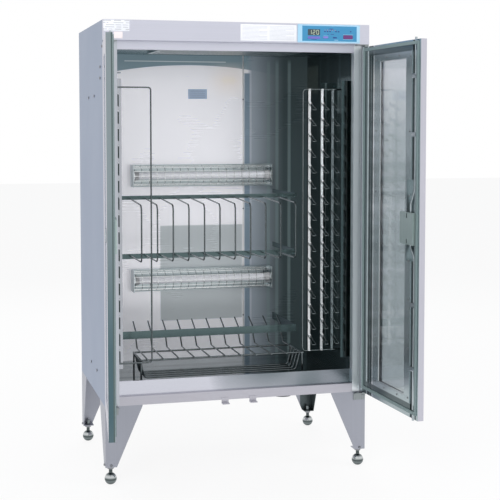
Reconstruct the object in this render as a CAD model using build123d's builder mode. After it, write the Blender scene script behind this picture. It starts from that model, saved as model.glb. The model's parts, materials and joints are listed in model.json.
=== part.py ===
"""Knife and cutting board sterilizer cabinet: a free-standing stainless cabinet on four tapered legs.

Millimetres, +Z up, the origin on the floor under the middle of the cabinet with its doors open, +X to the
right of somebody facing the cabinet and +Y towards its back. The doors are built closed, from their pivot
axis, and then turned to the angles they stand open at.
"""
from build123d import *
import math
import os

# ---- the cabinet's driving dimensions ----
width = 900.0              # outside, over the side panels
depth = 600.0              # front plane of the carcass to the back panel
height = 1515.0            # floor to the top cover
leg_height = 262.0         # floor to the underside of the carcass
sheet = 1.2                # stainless sheet of the carcass
head_bottom = 1450.0       # underside of the head's fascia
head_overhang = 20.0       # how far the fascia stands in front of the carcass
post_width = 47.0          # front post, from the outside of the cabinet to the door opening
frame_depth = 25.0         # front posts and lintel, front to back
lintel_bottom = 1422.0
rail_top = 292.0           # top of the rail under the door opening
lip_height = 48.0          # front lip of the floor pan above the rail
lip_setback = 14.0
insulation_thickness = 23.8
ceiling_height = 1438.8    # underside of the ceiling panel
floor_height = 293.0       # underside of the floor pan
drain_x = 171.0
drain_setback = 68.0       # drain behind the front plane
drain_bore = 16.0
gland_bore = 10.0

# ---- doors ----
door_thickness = 20.0
door_bottom = 265.0
door_top = 1441.0
door_gap = 3.5             # closed door to the front plane
door_sheet = 1.0
meeting_gap = 6.0          # between the free edges of the closed doors
pivot_inset = 8.0          # pivot axis from the hinge edge of the door
left_open = 97.0           # degrees, as the doors stand
right_open = 92.6
pin_diameter = 8.0
pin_boss_wall = 3.6        # wall of the boss round a pivot pin
fit_clearance = 0.1        # radial, of a pin or spindle in its hole
move_clearance = 0.5       # between pieces that pass each other
glass_thickness = 4.0
window_inset = 139.5       # hinge pivot to the visible glass
window_width = 201.5
window_bottom = 328.0
window_top = 1388.0
glass_overlap = 5.5        # glass behind its frame, all round
window_frame_margin = 40.0
window_frame_sill = 19.0
window_frame_rise = 1.5
gasket_width = 10.0
gasket_thickness = 3.2
gasket_hinge_inset = 6.0   # pivot to the gasket
gasket_free_inset = 11.0   # gasket to the door's free edge
gasket_bottom = 279.0
gasket_top = 1436.0

# ---- two-point latch ----
rod_diameter = 8.0
rod_setback = 394.0        # pivot to the rods
rod_depth = 4.0            # rod axis from the door's mid plane, towards the inside
rod_travel = 12.0
rod_rest_reach = 8.0       # tips beyond the door's edges, unlocked
latch_setback = 367.0      # pivot to the handle's spindle
latch_height = 858.0
latch_case_width = 94.0
latch_case_height = 100.0
latch_case_depth = 8.0
latch_case_offset = -2.0   # of the case's middle from the spindle
case_slot_inset = 10.0
case_slot_width = 7.0
case_slot_height = 15.0
pinion_radius = 7.4
pinion_clearance = 0.3
rack_width = 5.0
rack_thickness = 6.0
rack_length = 46.0
rack_offset = 18.0         # of the toothed bar that lies past the spindle, unlocked
rod_bend = 12.0
channel_width = 20.0
channel_depth = 10.5
pocket_bottom = 755.0
pocket_top = 1010.0
pocket_inset = 350.0       # pivot to the near wall of the latch pocket
jog_low = 934.0            # where the upper rod leaves the line of the spindle
jog_high = 980.0
jog_bottom_high = 800.0
jog_bottom_low = 766.0
spindle_diameter = 12.0
lever_length = 110.0
lever_width = 16.0
lever_thickness = 8.0
lever_stand_off = 17.0
rosette_diameter = 44.0
rosette_thickness = 3.0
knob_proud = 4.5
grip_width = 8.0
grip_depth = 2.5
lever_edge = 2.5           # rounding of the lever's front edge

# ---- legs and feet ----
leg_sheet = 2.0
leg_top_width = 123.0
leg_bottom_width = 38.0
leg_bottom = 62.0
leg_skirt = 4.0
leg_plate_corner = 30.0    # straight ends of the plate on top of a leg
ball_diameter = 40.0
ball_flat = 0.5            # how much of the ball is cut off where it stands
foot_inset = 19.0
stem_diameter = 12.0
stem_top = 78.0
nut_across_flats = 19.0
nut_height = 8.0

# ---- racks ----
pilaster_width = 42.8      # liner to the free edge of the slotted face
pilaster_sheet = 1.5
pilaster_bottom = 372.0
pilaster_top = 1330.0
pilaster_front = 60.0      # front pilasters behind the front plane
pilaster_rear = 282.0
pilaster_return = 25.0
slot_pitch = 56.5
slot_height = 45.0
slot_width = 5.0
slot_inset = 12.5          # slot from the free edge of the pilaster
slot_slant = 6.0
wire = 5.0
weld_depth = 0.5           # how far crossing wires melt into each other
rack_pitch = 53.2
hoop_count = 11
hoop_first = -318.0
hoop_front = 50.0
hoop_top = 914.0
hoop_bottom = 726.0
hoop_corner = 20.0
hoop_rise = 8.0            # of the hoop where it leaves its bar
hoop_fall = 2.0
hoop_run = 30.0            # straight part of a hoop in front of its bar
hoop_tip = 5.0             # of a hoop's end above or under its bar's edge
bar_thickness = 3.0
upper_bar = (919.0, 933.0)
middle_bar = (712.0, 730.0)
lower_bar = (430.0, 457.0)
bar_right = 287.0
guide_first = -299.0
guide_height = 399.0
guide_front = 42.0
guide_run = 18.0
guide_corner = 8.0
guide_tail = (64.0, 24.0)  # how far a guide reaches behind its bar, and above it
lug_inset = 4.0            # wire ends from the edges of the bars
support_height = 330.0
support_slope = 16.0
support_corner = 12.0
support_rows = 4
support_margin = 24.0      # first and last support from the legs of the rack
rack_foot_front = 75.0
rack_foot_rear = 60.0
bar_end_gap = 2.0          # bars to the side of the pilaster
rack_left = -318.0
rack_right = 246.0
rack_leg = 6.0
loop_x = -284.0
loop_top = 1302.0
loop_bottom = 390.0
loop_corner = 9.0
loop_overlap = 16.0        # how far the loop's ends lie on the pilaster
knife_left = 253.0
knife_right = 412.0
knife_bottom = 395.0
knife_top = 1301.0
knife_plane = 92.0
knife_rows = 16
knife_pitch = 53.6
knife_first_row = 452.0
knife_columns = (276.0, 321.5, 360.0)
knife_bar = 8.0            # width of the flat uprights
hook_x = 391.0
pocket_reach = 60.0
pocket_drop = 26.0
pocket_wire = 3.0
pocket_loop = 8.0          # half the width of a knife pocket's outer end
pocket_neck = 0.6          # share of the width at the root, and of the reach where it widens
pocket_corner = 5.0
knife_corner = 12.0
knife_joint = 60.0         # from the right edge, where the bent frame meets the cross bars

# ---- sheet details and equipment ----
screw_head = 9.0
screw_rise = 2.5
louvre_rows = 6
louvre_bottom = 1452.0
louvre_pitch = 9.0
louvre_height = 3.5
louvre_length = 180.0
louvre_inset = 250.0
gland_x = 395.0
gland_z = 1482.0
gland_body = 22.0
gland_thread = 9.0
gland_reach = 20.0
gland_flange = 30.0
gland_flange_thickness = 3.0
gland_nut_length = 12.0
drain_pipe = 26.0
drain_flange = 44.0
drain_cup = 65.0
drain_cup_height = 12.0
lip_hem = 8.0
cover_return = 12.0
keep_hole = 10.0
keep_width = 24.0
keep_top = 270.0
keep_shelf = (250.0, 253.0)
keep_web = 2.0
grille_x = 0.0
grille_length = 500.0
grille_width = 210.0
grille_setback = 90.0
grille_depth = 13.0
grille_slots = 34
grille_pitch = 14.0
grille_rows = 2
grille_slot = 92.0
grille_bridge = 6.0
grille_slot_width = 6.0
grille_margin = 10.0
blower_x = -110.0
blower_setback = 195.0
blower_eye = 110.0
heater_x = 110.0
heater_length = 200.0
heater_depth = 150.0
heater_height = 30.0
heater_rod = 8.0
heater_rods = 5
housing_x = (-210.0, 218.0)
housing_depth = 190.0
housing_height = 42.0
impeller_diameter = 150.0
impeller_height = 28.0
impeller_blades = 24
impeller_clearance = 5.0
impeller_sheet = 1.0
blade_angle = 35.0
motor_edge = 3.0
shaft_diameter = 8.0
motor_diameter = 80.0
motor_height = 26.0
ballast_size = (150.0, 42.0, 34.0)
ballast_x = 315.0
ballast_setback = 430.0
control_x = 306.0
control_z = 1482.7
control_width = 218.8
control_height = 60.4
control_rim = 12.0
control_corner = 2.0
overlay_thickness = 1.5
button_clearance = 0.4
button_travel = 0.8
board_setback = 12.0
board_width = 205.0
board_height = 48.0
board_thickness = 1.6
board_post = 5.0
post_inset = 6.0
display_inset = 24.0
display_width = 44.0
display_bottom = 1478.0
display_top = 1496.0
lamp_heights = (599.0, 990.0)
lamp_length = 532.0        # over the end caps of a lamp housing
lamp_height = 82.0
lamp_back = 25.0           # depth of the housing behind the guard
lamp_reach = 62.0          # end caps in front of the back wall
lamp_tube = 25.5
guard_radius = 37.0
guard_bar = 2.0
guard_hoops = 19
guard_bars = 7
bracket_thickness = 3.5
bracket_width = 42.0
bracket_drop = 28.0
bracket_reach = 21.0
bracket_drop_gap = 1.5     # lower bracket's plate under the carcass
washer_diameter = 16.0
washer_clearance = 0.3
pin_engagement = 18.0
pin_tail = 7.0

# ---- worked out ----
half_width = width / 2
pivot_x = half_width - pivot_inset
door_width = half_width - meeting_gap / 2
free_edge = door_width - pivot_inset
door_reach = free_edge * math.sin(math.radians(right_open)) + door_gap + door_thickness / 2
front_y = (door_reach - depth - gland_reach) / 2
pivot_y = front_y - door_gap - door_thickness / 2
back_y = front_y + depth
liner_x = half_width - sheet - insulation_thickness
liner_front = front_y + frame_depth
liner_back_y = back_y - sheet - insulation_thickness
opening_x = half_width - post_width
drain_y = front_y + drain_setback
blower_y = front_y + blower_setback
heater_y = blower_y
rod_x = pivot_x - rod_setback
rod_y = pivot_y + rod_depth

os.makedirs("parts", exist_ok=True)


def save(piece, name):
    """Labels a finished piece and writes it to its own file."""
    piece.label = name
    export_step(piece, f"parts/{name}.step")


def block(x, y, z, mode=Mode.ADD):
    """Adds, or cuts, a box given by its ranges along X, Y and Z to the part being built."""
    with Locations(((x[0] + x[1]) / 2, (y[0] + y[1]) / 2, (z[0] + z[1]) / 2)):
        Box(abs(x[1] - x[0]), abs(y[1] - y[0]), abs(z[1] - z[0]), mode=mode)


def wire_form(points, corner, diameter):
    """Returns a round wire bent along the points, with each corner rounded to a radius."""
    with BuildPart() as form:
        with BuildLine() as path:
            if len(points) > 2:
                FilletPolyline(*points, radius=corner)
            else:
                Line(*points)
        with BuildSketch(Plane(origin=path.line @ 0, z_dir=path.line % 0)):
            Circle(diameter / 2)
        sweep(path=path.line)
    return form.part


def upright(radius, x, y, z, mode=Mode.ADD):
    """Adds, or cuts, a vertical round bar at x, y over a range of heights."""
    with Locations((x, y, z[0])):
        Cylinder(radius, z[1] - z[0], align=(Align.CENTER, Align.CENTER, Align.MIN), mode=mode)


def depthwise(radius, x, z, y, mode=Mode.ADD):
    """Adds, or cuts, a round bar along Y at x, z over a range of depths."""
    with Locations(Location((x, y[0], z), (-90, 0, 0))):
        Cylinder(radius, y[1] - y[0], align=(Align.CENTER, Align.CENTER, Align.MIN), mode=mode)


def crosswise(radius, y, z, x, mode=Mode.ADD):
    """Adds, or cuts, a round bar along X at y, z over a range of widths."""
    with Locations(Location((x[0], y, z), (0, 90, 0))):
        Cylinder(radius, x[1] - x[0], align=(Align.CENTER, Align.CENTER, Align.MIN), mode=mode)


# ======== carcass ========
panel_edge = half_width - sheet          # inside of the side panels
screw_places = ((8, 1431), (54, 1367), (58, 1331), (338, 1273), (200, 1276), (325, 349), (185, 347))

for side, name in ((-1, "left"), (1, "right")):
    with BuildPart() as side_panel:
        block((panel_edge * side, half_width * side), (front_y, back_y), (leg_height, height))
    save(side_panel.part, f"side_panel_{name}")

with BuildPart() as screws:
    for side in (-1, 1):
        for setback, z in screw_places:
            with Locations(Location((half_width * side, front_y + setback, z), (0, 90 * side, 0))):
                Cylinder(screw_head / 2, screw_rise, align=(Align.CENTER, Align.CENTER, Align.MIN))
save(screws.part, "side_screws")

with BuildPart() as back_panel:
    block((-panel_edge, panel_edge), (back_y - sheet, back_y), (leg_height, height))
    for side in (-1, 1):
        for row in range(louvre_rows):
            z = louvre_bottom + row * louvre_pitch
            block(
                (side * louvre_inset - louvre_length / 2, side * louvre_inset + louvre_length / 2),
                (back_y - 2 * sheet, back_y + sheet),
                (z, z + louvre_height),
                Mode.SUBTRACT,
            )
    depthwise(gland_body / 2, gland_x, gland_z, (back_y - 2 * sheet, back_y + sheet), Mode.SUBTRACT)
save(back_panel.part, "back_panel")

with BuildPart() as cable_gland:
    depthwise(gland_body / 2, gland_x, gland_z, (back_y - sheet - gland_thread, back_y + gland_reach))
    depthwise(gland_flange / 2, gland_x, gland_z, (back_y, back_y + gland_flange_thickness))
    with BuildSketch(Plane((gland_x, back_y + gland_flange_thickness, gland_z), z_dir=(0, 1, 0))):
        RegularPolygon(gland_flange / 2, 6)
    extrude(amount=gland_nut_length)
    through = (back_y - 4 * gland_thread, back_y + 2 * gland_reach)
    depthwise(gland_bore / 2, gland_x, gland_z, through, Mode.SUBTRACT)
save(cable_gland.part, "cable_gland")

with BuildPart() as front_posts:
    for side in (-1, 1):
        outer = panel_edge * side
        inner = opening_x * side
        step = liner_x * side
        heights = (leg_height + sheet, head_bottom)
        block((inner, outer), (front_y, front_y + sheet), heights)
        block((inner, inner + sheet * side), (front_y, liner_front), heights)
        block((inner, step), (liner_front - sheet, liner_front), heights)
        block((outer - sheet * side, outer), (front_y, liner_front), heights)
save(front_posts.part, "front_posts")

with BuildPart() as lintel:
    block((-opening_x, opening_x), (front_y, front_y + sheet), (lintel_bottom, head_bottom))
    block((-opening_x, opening_x), (front_y, liner_front), (lintel_bottom, lintel_bottom + sheet))
    block((-opening_x, opening_x), (front_y, liner_front), (head_bottom - sheet, head_bottom))
    block((-opening_x, opening_x), (liner_front - sheet, liner_front), (lintel_bottom, ceiling_height))
save(lintel.part, "lintel")

with BuildPart() as bottom_panel:
    block((-panel_edge, panel_edge), (front_y, back_y - sheet), (leg_height, leg_height + sheet))
    block((-opening_x, opening_x), (front_y, front_y + sheet), (leg_height, rail_top))
    block((-opening_x, opening_x), (front_y, front_y + lip_setback), (rail_top - sheet, rail_top))
    upright(drain_pipe / 2 + move_clearance, drain_x, drain_y, (leg_height - sheet, rail_top), Mode.SUBTRACT)
save(bottom_panel.part, "bottom_panel")

for side, name in ((-1, "left"), (1, "right")):
    with BuildPart() as liner:
        across = (liner_x * side, (liner_x - sheet) * side)
        block(across, (liner_front, liner_back_y), (floor_height, ceiling_height))
    save(liner.part, f"liner_{name}")

with BuildPart() as liner_back:
    block((-liner_x, liner_x), (liner_back_y, liner_back_y + sheet), (floor_height, ceiling_height))
save(liner_back.part, "liner_back")

with BuildPart() as floor_pan:
    inside = liner_x - sheet
    block((-inside, inside), (liner_front, liner_back_y), (floor_height, floor_height + sheet))
    block((-opening_x, opening_x), (front_y + lip_setback, liner_front), (floor_height, floor_height + sheet))
    lip = (rail_top, rail_top + lip_height)
    block((-opening_x, opening_x), (front_y + lip_setback, front_y + lip_setback + sheet), lip)
    hem = (rail_top + lip_height - sheet, rail_top + lip_height)
    block((-opening_x, opening_x), (front_y + lip_setback, front_y + lip_setback + lip_hem), hem)
    hole = (floor_height - sheet, floor_height + 2 * sheet)
    upright(drain_pipe / 2 + move_clearance, drain_x, drain_y, hole, Mode.SUBTRACT)
save(floor_pan.part, "floor_pan")

with BuildPart() as ceiling_panel:
    block((-liner_x, liner_x), (liner_front, liner_back_y + sheet), (ceiling_height, ceiling_height + sheet))
    with BuildSketch(Plane.XY.offset(ceiling_height)):
        with Locations((blower_x, blower_y)):
            Circle(blower_eye / 2)
        with Locations((heater_x, heater_y)):
            Rectangle(heater_length - 2 * grille_margin, heater_depth - 2 * grille_margin)
    extrude(amount=sheet, mode=Mode.SUBTRACT)
save(ceiling_panel.part, "ceiling_panel")

with BuildPart() as ceiling_grille:
    drop = (ceiling_height - grille_depth, ceiling_height)
    ends = (grille_x - grille_length / 2, grille_x + grille_length / 2)
    sides = (front_y + grille_setback, front_y + grille_setback + grille_width)
    block(ends, sides, drop)
    block(
        (ends[0] + sheet, ends[1] - sheet),
        (sides[0] + sheet, sides[1] - sheet),
        (drop[0] + sheet, drop[1] + sheet),
        Mode.SUBTRACT,
    )
    with BuildSketch(Plane.XY.offset(drop[0])):
        with Locations((grille_x, (sides[0] + sides[1]) / 2)):
            with GridLocations(grille_pitch, grille_slot + grille_bridge, grille_slots, grille_rows):
                Rectangle(grille_slot_width, grille_slot)
    extrude(amount=sheet, mode=Mode.SUBTRACT)
save(ceiling_grille.part, "ceiling_grille")

with BuildPart() as insulation:
    heights = (floor_height, ceiling_height)
    for side in (-1, 1):
        block((panel_edge * side, liner_x * side), (liner_front, back_y - sheet), heights)
    block((-liner_x, liner_x), (liner_back_y + sheet, back_y - sheet), heights)
save(insulation.part, "insulation")

# ======== head ========
fascia_y = front_y - head_overhang
window_x = (control_x - control_width / 2 + control_rim, control_x + control_width / 2 - control_rim)
window_z = (control_z - control_height / 2 + control_rim, control_z + control_height / 2 - control_rim)

with BuildPart() as head_fascia:
    block((-half_width, half_width), (fascia_y, fascia_y + sheet), (head_bottom, height))
    block((-half_width, half_width), (fascia_y, front_y), (head_bottom, head_bottom + sheet))
    block((-half_width, half_width), (fascia_y, front_y), (height - sheet, height))
    for side in (-1, 1):
        block((half_width * side, panel_edge * side), (fascia_y, front_y), (head_bottom, height))
    block(window_x, (fascia_y - sheet, fascia_y + 2 * sheet), window_z, Mode.SUBTRACT)
    for side in (-1, 1):
        keep = (head_bottom - sheet, head_bottom + 2 * sheet)
        upright(keep_hole / 2, rod_x * side, rod_y, keep, Mode.SUBTRACT)
save(head_fascia.part, "head_fascia")

with BuildPart() as top_cover:
    block((-panel_edge, panel_edge), (front_y, back_y - sheet), (height - sheet, height))
    block((-panel_edge, panel_edge), (back_y - 2 * sheet, back_y - sheet), (height - cover_return, height))
save(top_cover.part, "top_cover")

button_plan = (
    ("button_power", (253.5, 1469.2), (43.0, 7.6), 3.7),
    ("button_select", (294.5, 1470.8), (17.9, 6.4), 3.1),
    ("button_start", (373.5, 1472.5), (33.0, 13.0), 3.0),
)


overlay_plane = Plane((0, fascia_y, 0), x_dir=(1, 0, 0), z_dir=(0, -1, 0))
with BuildPart() as control_panel:
    with BuildSketch(overlay_plane):
        with Locations((control_x, control_z)):
            RectangleRounded(control_width, control_height, control_corner)
        for _, place, size, corner in button_plan:
            hole = (size[0] + 2 * button_clearance, size[1] + 2 * button_clearance)
            with Locations(place):
                RectangleRounded(*hole, corner, mode=Mode.SUBTRACT)
    extrude(amount=overlay_thickness)
save(control_panel.part, "control_panel")

board_face = fascia_y + board_setback
for name, place, size, corner in button_plan:
    with BuildPart() as button:
        stem = board_setback - button_travel - move_clearance
        with BuildSketch(overlay_plane.offset(-stem)):
            with Locations(place):
                RectangleRounded(*size, corner)
        extrude(amount=stem + overlay_thickness + button_travel)
    save(button.part, name)

with BuildPart() as control_board:
    board_x = (control_x - board_width / 2, control_x + board_width / 2)
    board_z = (control_z - board_height / 2, control_z + board_height / 2)
    block(board_x, (board_face, board_face + board_thickness), board_z)
    display_x = (window_x[0] + display_inset, window_x[0] + display_inset + display_width)
    block(display_x, (fascia_y + 2 * sheet, board_face), (display_bottom, display_top))
    for x in (board_x[0] + post_inset, board_x[1] - post_inset):
        for z in (board_z[0] + post_inset / 2, board_z[1] - post_inset / 2):
            depthwise(board_post / 2, x, z, (fascia_y + sheet, board_face))
save(control_board.part, "control_board")

with BuildPart() as lamp_ballasts:
    for side in (-1, 1):
        x = (ballast_x * side - ballast_size[0] / 2, ballast_x * side + ballast_size[0] / 2)
        y = front_y + ballast_setback
        z = ceiling_height + sheet
        block(x, (y, y + ballast_size[1]), (z, z + ballast_size[2]))
save(lamp_ballasts.part, "lamp_ballasts")

# ======== warm air unit over the ceiling ========
deck = ceiling_height + sheet
housing_y = (blower_y - housing_depth / 2, blower_y + housing_depth / 2)
with BuildPart() as blower_housing:
    block(housing_x, housing_y, (deck, deck + housing_height))
    block(
        (housing_x[0] + sheet, housing_x[1] - sheet),
        (housing_y[0] + sheet, housing_y[1] - sheet),
        (deck - sheet, deck + housing_height - sheet),
        Mode.SUBTRACT,
    )
    hole = (deck, deck + 2 * housing_height)
    upright(shaft_diameter / 2 + fit_clearance, blower_x, blower_y, hole, Mode.SUBTRACT)
save(blower_housing.part, "blower_housing")

with BuildPart() as blower_motor:
    motor_seat = deck + housing_height
    upright(motor_diameter / 2, blower_x, blower_y, (motor_seat, motor_seat + motor_height))
    fillet(blower_motor.edges().group_by(Axis.Z)[-1], motor_edge)
    bore = (deck + housing_height, deck + housing_height + motor_height / 2)
    upright(shaft_diameter / 2 + fit_clearance, blower_x, blower_y, bore, Mode.SUBTRACT)
save(blower_motor.part, "blower_motor")

with BuildPart() as blower_impeller:
    low = deck + impeller_clearance
    high = low + impeller_height
    upright(impeller_diameter / 2, blower_x, blower_y, (high - impeller_sheet, high))
    upright(impeller_diameter / 2, blower_x, blower_y, (low, low + impeller_sheet))
    eye = (low - impeller_sheet, low + 2 * impeller_sheet)
    upright(blower_eye / 2, blower_x, blower_y, eye, Mode.SUBTRACT)
    upright(shaft_diameter, blower_x, blower_y, (high - impeller_height / 2, high))
    shaft = (high, deck + housing_height + motor_height / 2 - move_clearance)
    upright(shaft_diameter / 2, blower_x, blower_y, shaft)
    with Locations((blower_x, blower_y, low)):
        with PolarLocations((impeller_diameter / 2 + blower_eye / 2) / 2, impeller_blades):
            Box(
                impeller_diameter / 2 - blower_eye / 2 - impeller_sheet,
                impeller_sheet,
                impeller_height,
                rotation=(0, 0, blade_angle),
                align=(Align.CENTER, Align.CENTER, Align.MIN),
            )
save(blower_impeller.part, "blower_impeller")

with BuildPart() as air_heater:
    ends = (heater_x - heater_length / 2, heater_x + heater_length / 2)
    y = (heater_y - heater_depth / 2, heater_y + heater_depth / 2)
    for x in ends:
        inward = sheet if x == ends[0] else -sheet
        block((x, x + inward), y, (deck, deck + heater_height))
    for n in range(heater_rods):
        rod_place = y[0] + heater_depth * (n + 0.5) / heater_rods
        crosswise(heater_rod / 2, rod_place, deck + heater_height / 2, ends)
save(air_heater.part, "air_heater")

# ======== germicidal lamps on the back wall ========
cap = lamp_length / 2
lamp_y = liner_back_y - lamp_reach / 2
with BuildPart() as lamp_housings:
    for z in lamp_heights:
        tall = (z - lamp_height / 2, z + lamp_height / 2)
        block((-cap, cap), (liner_back_y - lamp_back, liner_back_y), tall)
        inside = (tall[0] + sheet, tall[1] - sheet)
        trough = (liner_back_y - lamp_back - sheet, liner_back_y - sheet)
        block((-cap + sheet, cap - sheet), trough, inside, Mode.SUBTRACT)
        for x in (-cap, cap - 2 * sheet):
            block((x, x + 2 * sheet), (liner_back_y - lamp_reach, liner_back_y), tall)
save(lamp_housings.part, "lamp_housings")

with BuildPart() as lamp_tubes:
    for z in lamp_heights:
        crosswise(lamp_tube / 2, lamp_y, z, (-cap + 2 * sheet, cap - 2 * sheet))
save(lamp_tubes.part, "lamp_tubes")

with BuildPart() as lamp_guards:
    guard_start = -cap + 2 * sheet
    guard_step = (lamp_length - 4 * sheet - guard_bar) / (guard_hoops - 1)
    guard_y = liner_back_y - lamp_back
    for z in lamp_heights:
        for n in range(guard_hoops):
            x = guard_start + n * guard_step
            with BuildSketch(Plane((x, guard_y, z), x_dir=(0, 1, 0), z_dir=(1, 0, 0))):
                Circle(guard_radius)
                Circle(guard_radius - guard_bar, mode=Mode.SUBTRACT)
                with Locations((guard_radius, 0)):
                    Rectangle(2 * guard_radius, 4 * guard_radius, mode=Mode.SUBTRACT)
            extrude(amount=guard_bar)
        for n in range(guard_bars):
            turn = math.pi * n / (guard_bars - 1)
            middle = guard_radius - guard_bar
            wire_y = guard_y - guard_bar / 2 - (middle + guard_bar / 2) * math.sin(turn)
            wire_z = z + middle * math.cos(turn)
            block(
                (guard_start, -guard_start),
                (wire_y - guard_bar / 2, wire_y + guard_bar / 2),
                (wire_z - guard_bar / 2, wire_z + guard_bar / 2),
            )
save(lamp_guards.part, "lamp_guards")

# ======== racks ========
pilaster_x = liner_x - sheet
with BuildPart() as pilasters:
    slots = int((pilaster_top - pilaster_bottom - slot_height) // slot_pitch)
    for side in (-1, 1):
        for setback in (pilaster_front, pilaster_rear):
            face = front_y + setback
            tall = (pilaster_bottom, pilaster_top)
            edge = pilaster_x - pilaster_width
            block((pilaster_x * side, edge * side), (face, face + pilaster_sheet), tall)
            block((pilaster_x * side, (pilaster_x - pilaster_sheet) * side), (face, face + pilaster_return), tall)
            with BuildSketch(Plane((0, face, 0), x_dir=(1, 0, 0), z_dir=(0, -1, 0))) as slot_row:
                for n in range(slots):
                    low = pilaster_bottom + slot_pitch / 3 + n * slot_pitch
                    near = edge + slot_inset - slot_width / 2
                    far = near + slot_width
                    with BuildLine():
                        Polyline(
                            (near * side, low + slot_slant),
                            (far * side, low),
                            (far * side, low + slot_height - slot_slant),
                            (near * side, low + slot_height),
                            close=True,
                        )
                    make_face()
            extrude(amount=-pilaster_sheet, mode=Mode.SUBTRACT)
save(pilasters.part, "pilasters")

bar_y = front_y + pilaster_rear - bar_thickness
bar_left = -pilaster_x + bar_end_gap
behind_bar = bar_y + bar_thickness + wire / 2 - weld_depth
hoop = wire_form(
    [
        (0, behind_bar, upper_bar[0] + lug_inset),
        (0, bar_y - hoop_run, hoop_top + hoop_rise),
        (0, front_y + hoop_front, hoop_top),
        (0, front_y + hoop_front, hoop_bottom),
        (0, bar_y - hoop_run, hoop_bottom - hoop_fall),
        (0, behind_bar, hoop_bottom - hoop_tip),
    ],
    hoop_corner,
    wire,
)
with BuildPart() as board_rack_upper:
    for heights in (upper_bar, middle_bar):
        block((bar_left, bar_right), (bar_y, bar_y + bar_thickness), heights)
        block((bar_right - bar_thickness, bar_right), (bar_y, liner_back_y), heights)
    with Locations(*[(hoop_first + n * rack_pitch, 0, 0) for n in range(hoop_count)]):
        add(hoop)
save(board_rack_upper.part, "board_rack_upper")

guide = wire_form(
    [
        (0, front_y + guide_front, guide_height),
        (0, bar_y - guide_run, guide_height),
        (0, behind_bar, lower_bar[0] - lug_inset),
        (0, behind_bar, lower_bar[1] - lug_inset),
        (0, bar_y + guide_tail[0], lower_bar[1] + guide_tail[1]),
    ],
    guide_corner,
    wire,
)
foot_y = (front_y + rack_foot_front, bar_y - rack_foot_rear)
support = wire_form(
    [
        (rack_left, 0, guide_height - wire),
        (rack_left + support_slope, 0, support_height),
        (rack_right - support_slope, 0, support_height),
        (rack_right, 0, guide_height - wire),
    ],
    support_corner,
    rack_leg,
)
with BuildPart() as board_rack_lower:
    block((bar_left, bar_right), (bar_y, bar_y + bar_thickness), lower_bar)
    block((bar_right - bar_thickness, bar_right), (bar_y, liner_back_y), lower_bar)
    rail_z = guide_height - wire / 2 - rack_leg / 2 + weld_depth
    with Locations(*[(guide_first + n * rack_pitch, 0, 0) for n in range(hoop_count)]):
        add(guide)
    for y in foot_y:
        crosswise(rack_leg / 2, y, rail_z, (rack_left, rack_right))
        for x in (rack_left, rack_right):
            upright(rack_leg / 2, x, y, (floor_height + sheet, rail_z + rack_leg / 2))
    for x in (rack_left, rack_right):
        depthwise(rack_leg / 2, x, rail_z, (foot_y[0] - rack_leg, foot_y[1] + rack_leg))
    support_start = foot_y[0] + support_margin
    support_step = (foot_y[1] - foot_y[0] - 2 * support_margin) / (support_rows - 1)
    with Locations(*[(0, support_start + n * support_step, 0) for n in range(support_rows)]):
        add(support)
save(board_rack_lower.part, "board_rack_lower")

loop_y = front_y + pilaster_front - wire / 2
loop_end = -pilaster_x + pilaster_width - loop_overlap
with BuildPart() as side_loop:
    add(
        wire_form(
            [
                (loop_end, loop_y, loop_top),
                (loop_x, loop_y, loop_top),
                (loop_x, loop_y, loop_bottom),
                (loop_end, loop_y, loop_bottom),
            ],
            loop_corner,
            wire,
        )
    )
save(side_loop.part, "side_loop")

knife_y = front_y + knife_plane
pocket_root = pocket_loop * pocket_neck
pocket_waist = (knife_y - pocket_neck * pocket_reach, -pocket_neck * pocket_drop)
pocket = wire_form(
    [
        (-pocket_root, knife_y, 0),
        (-pocket_root, *pocket_waist),
        (-pocket_loop, knife_y - pocket_reach, -pocket_drop),
        (pocket_loop, knife_y - pocket_reach, -pocket_drop),
        (pocket_root, *pocket_waist),
        (pocket_root, knife_y, 0),
    ],
    pocket_corner,
    pocket_wire,
)
with BuildPart() as knife_rack:
    with Locations((0, knife_y, 0)):
        add(
            wire_form(
                [
                    (knife_right - knife_joint, 0, knife_top),
                    (knife_left, 0, knife_top),
                    (knife_left, 0, knife_bottom),
                    (knife_right - knife_joint, 0, knife_bottom),
                ],
                knife_corner,
                rack_leg,
            )
        )
    for z in (knife_top, knife_bottom):
        crosswise(rack_leg / 2, knife_y, z, (knife_right - knife_joint - 1, knife_right - rack_leg / 2))
    for x in knife_columns:
        edges_x = (x - knife_bar / 2, x + knife_bar / 2)
        block(edges_x, (knife_y - 1, knife_y + bar_thickness - 1), (knife_bottom, knife_top))
    upright(rack_leg / 2, knife_right - rack_leg / 2, knife_y, (knife_bottom, knife_top))
    hook_y = front_y + pilaster_front + pilaster_sheet
    for z in (knife_top, knife_bottom):
        block((hook_x, hook_x + slot_width), (hook_y, knife_y), (z - rack_leg / 2, z + rack_leg / 2))
    with Locations(
        *[(x, 0, knife_first_row + n * knife_pitch) for n in range(knife_rows) for x in knife_columns]
    ):
        add(pocket)
save(knife_rack.part, "knife_rack")

# ======== drain and keeps ========
with BuildPart() as drain_fitting:
    upright(drain_pipe / 2, drain_x, drain_y, (leg_height, floor_height + 2 * sheet))
    upright(drain_flange / 2, drain_x, drain_y, (floor_height + sheet, floor_height + 2 * sheet))
    upright(drain_cup / 2, drain_x, drain_y, (leg_height - drain_cup_height, leg_height))
    upright(
        drain_bore / 2,
        drain_x,
        drain_y,
        (leg_height - 2 * drain_cup_height, floor_height + 3 * sheet),
        Mode.SUBTRACT,
    )
save(drain_fitting.part, "drain_fitting")

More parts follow.
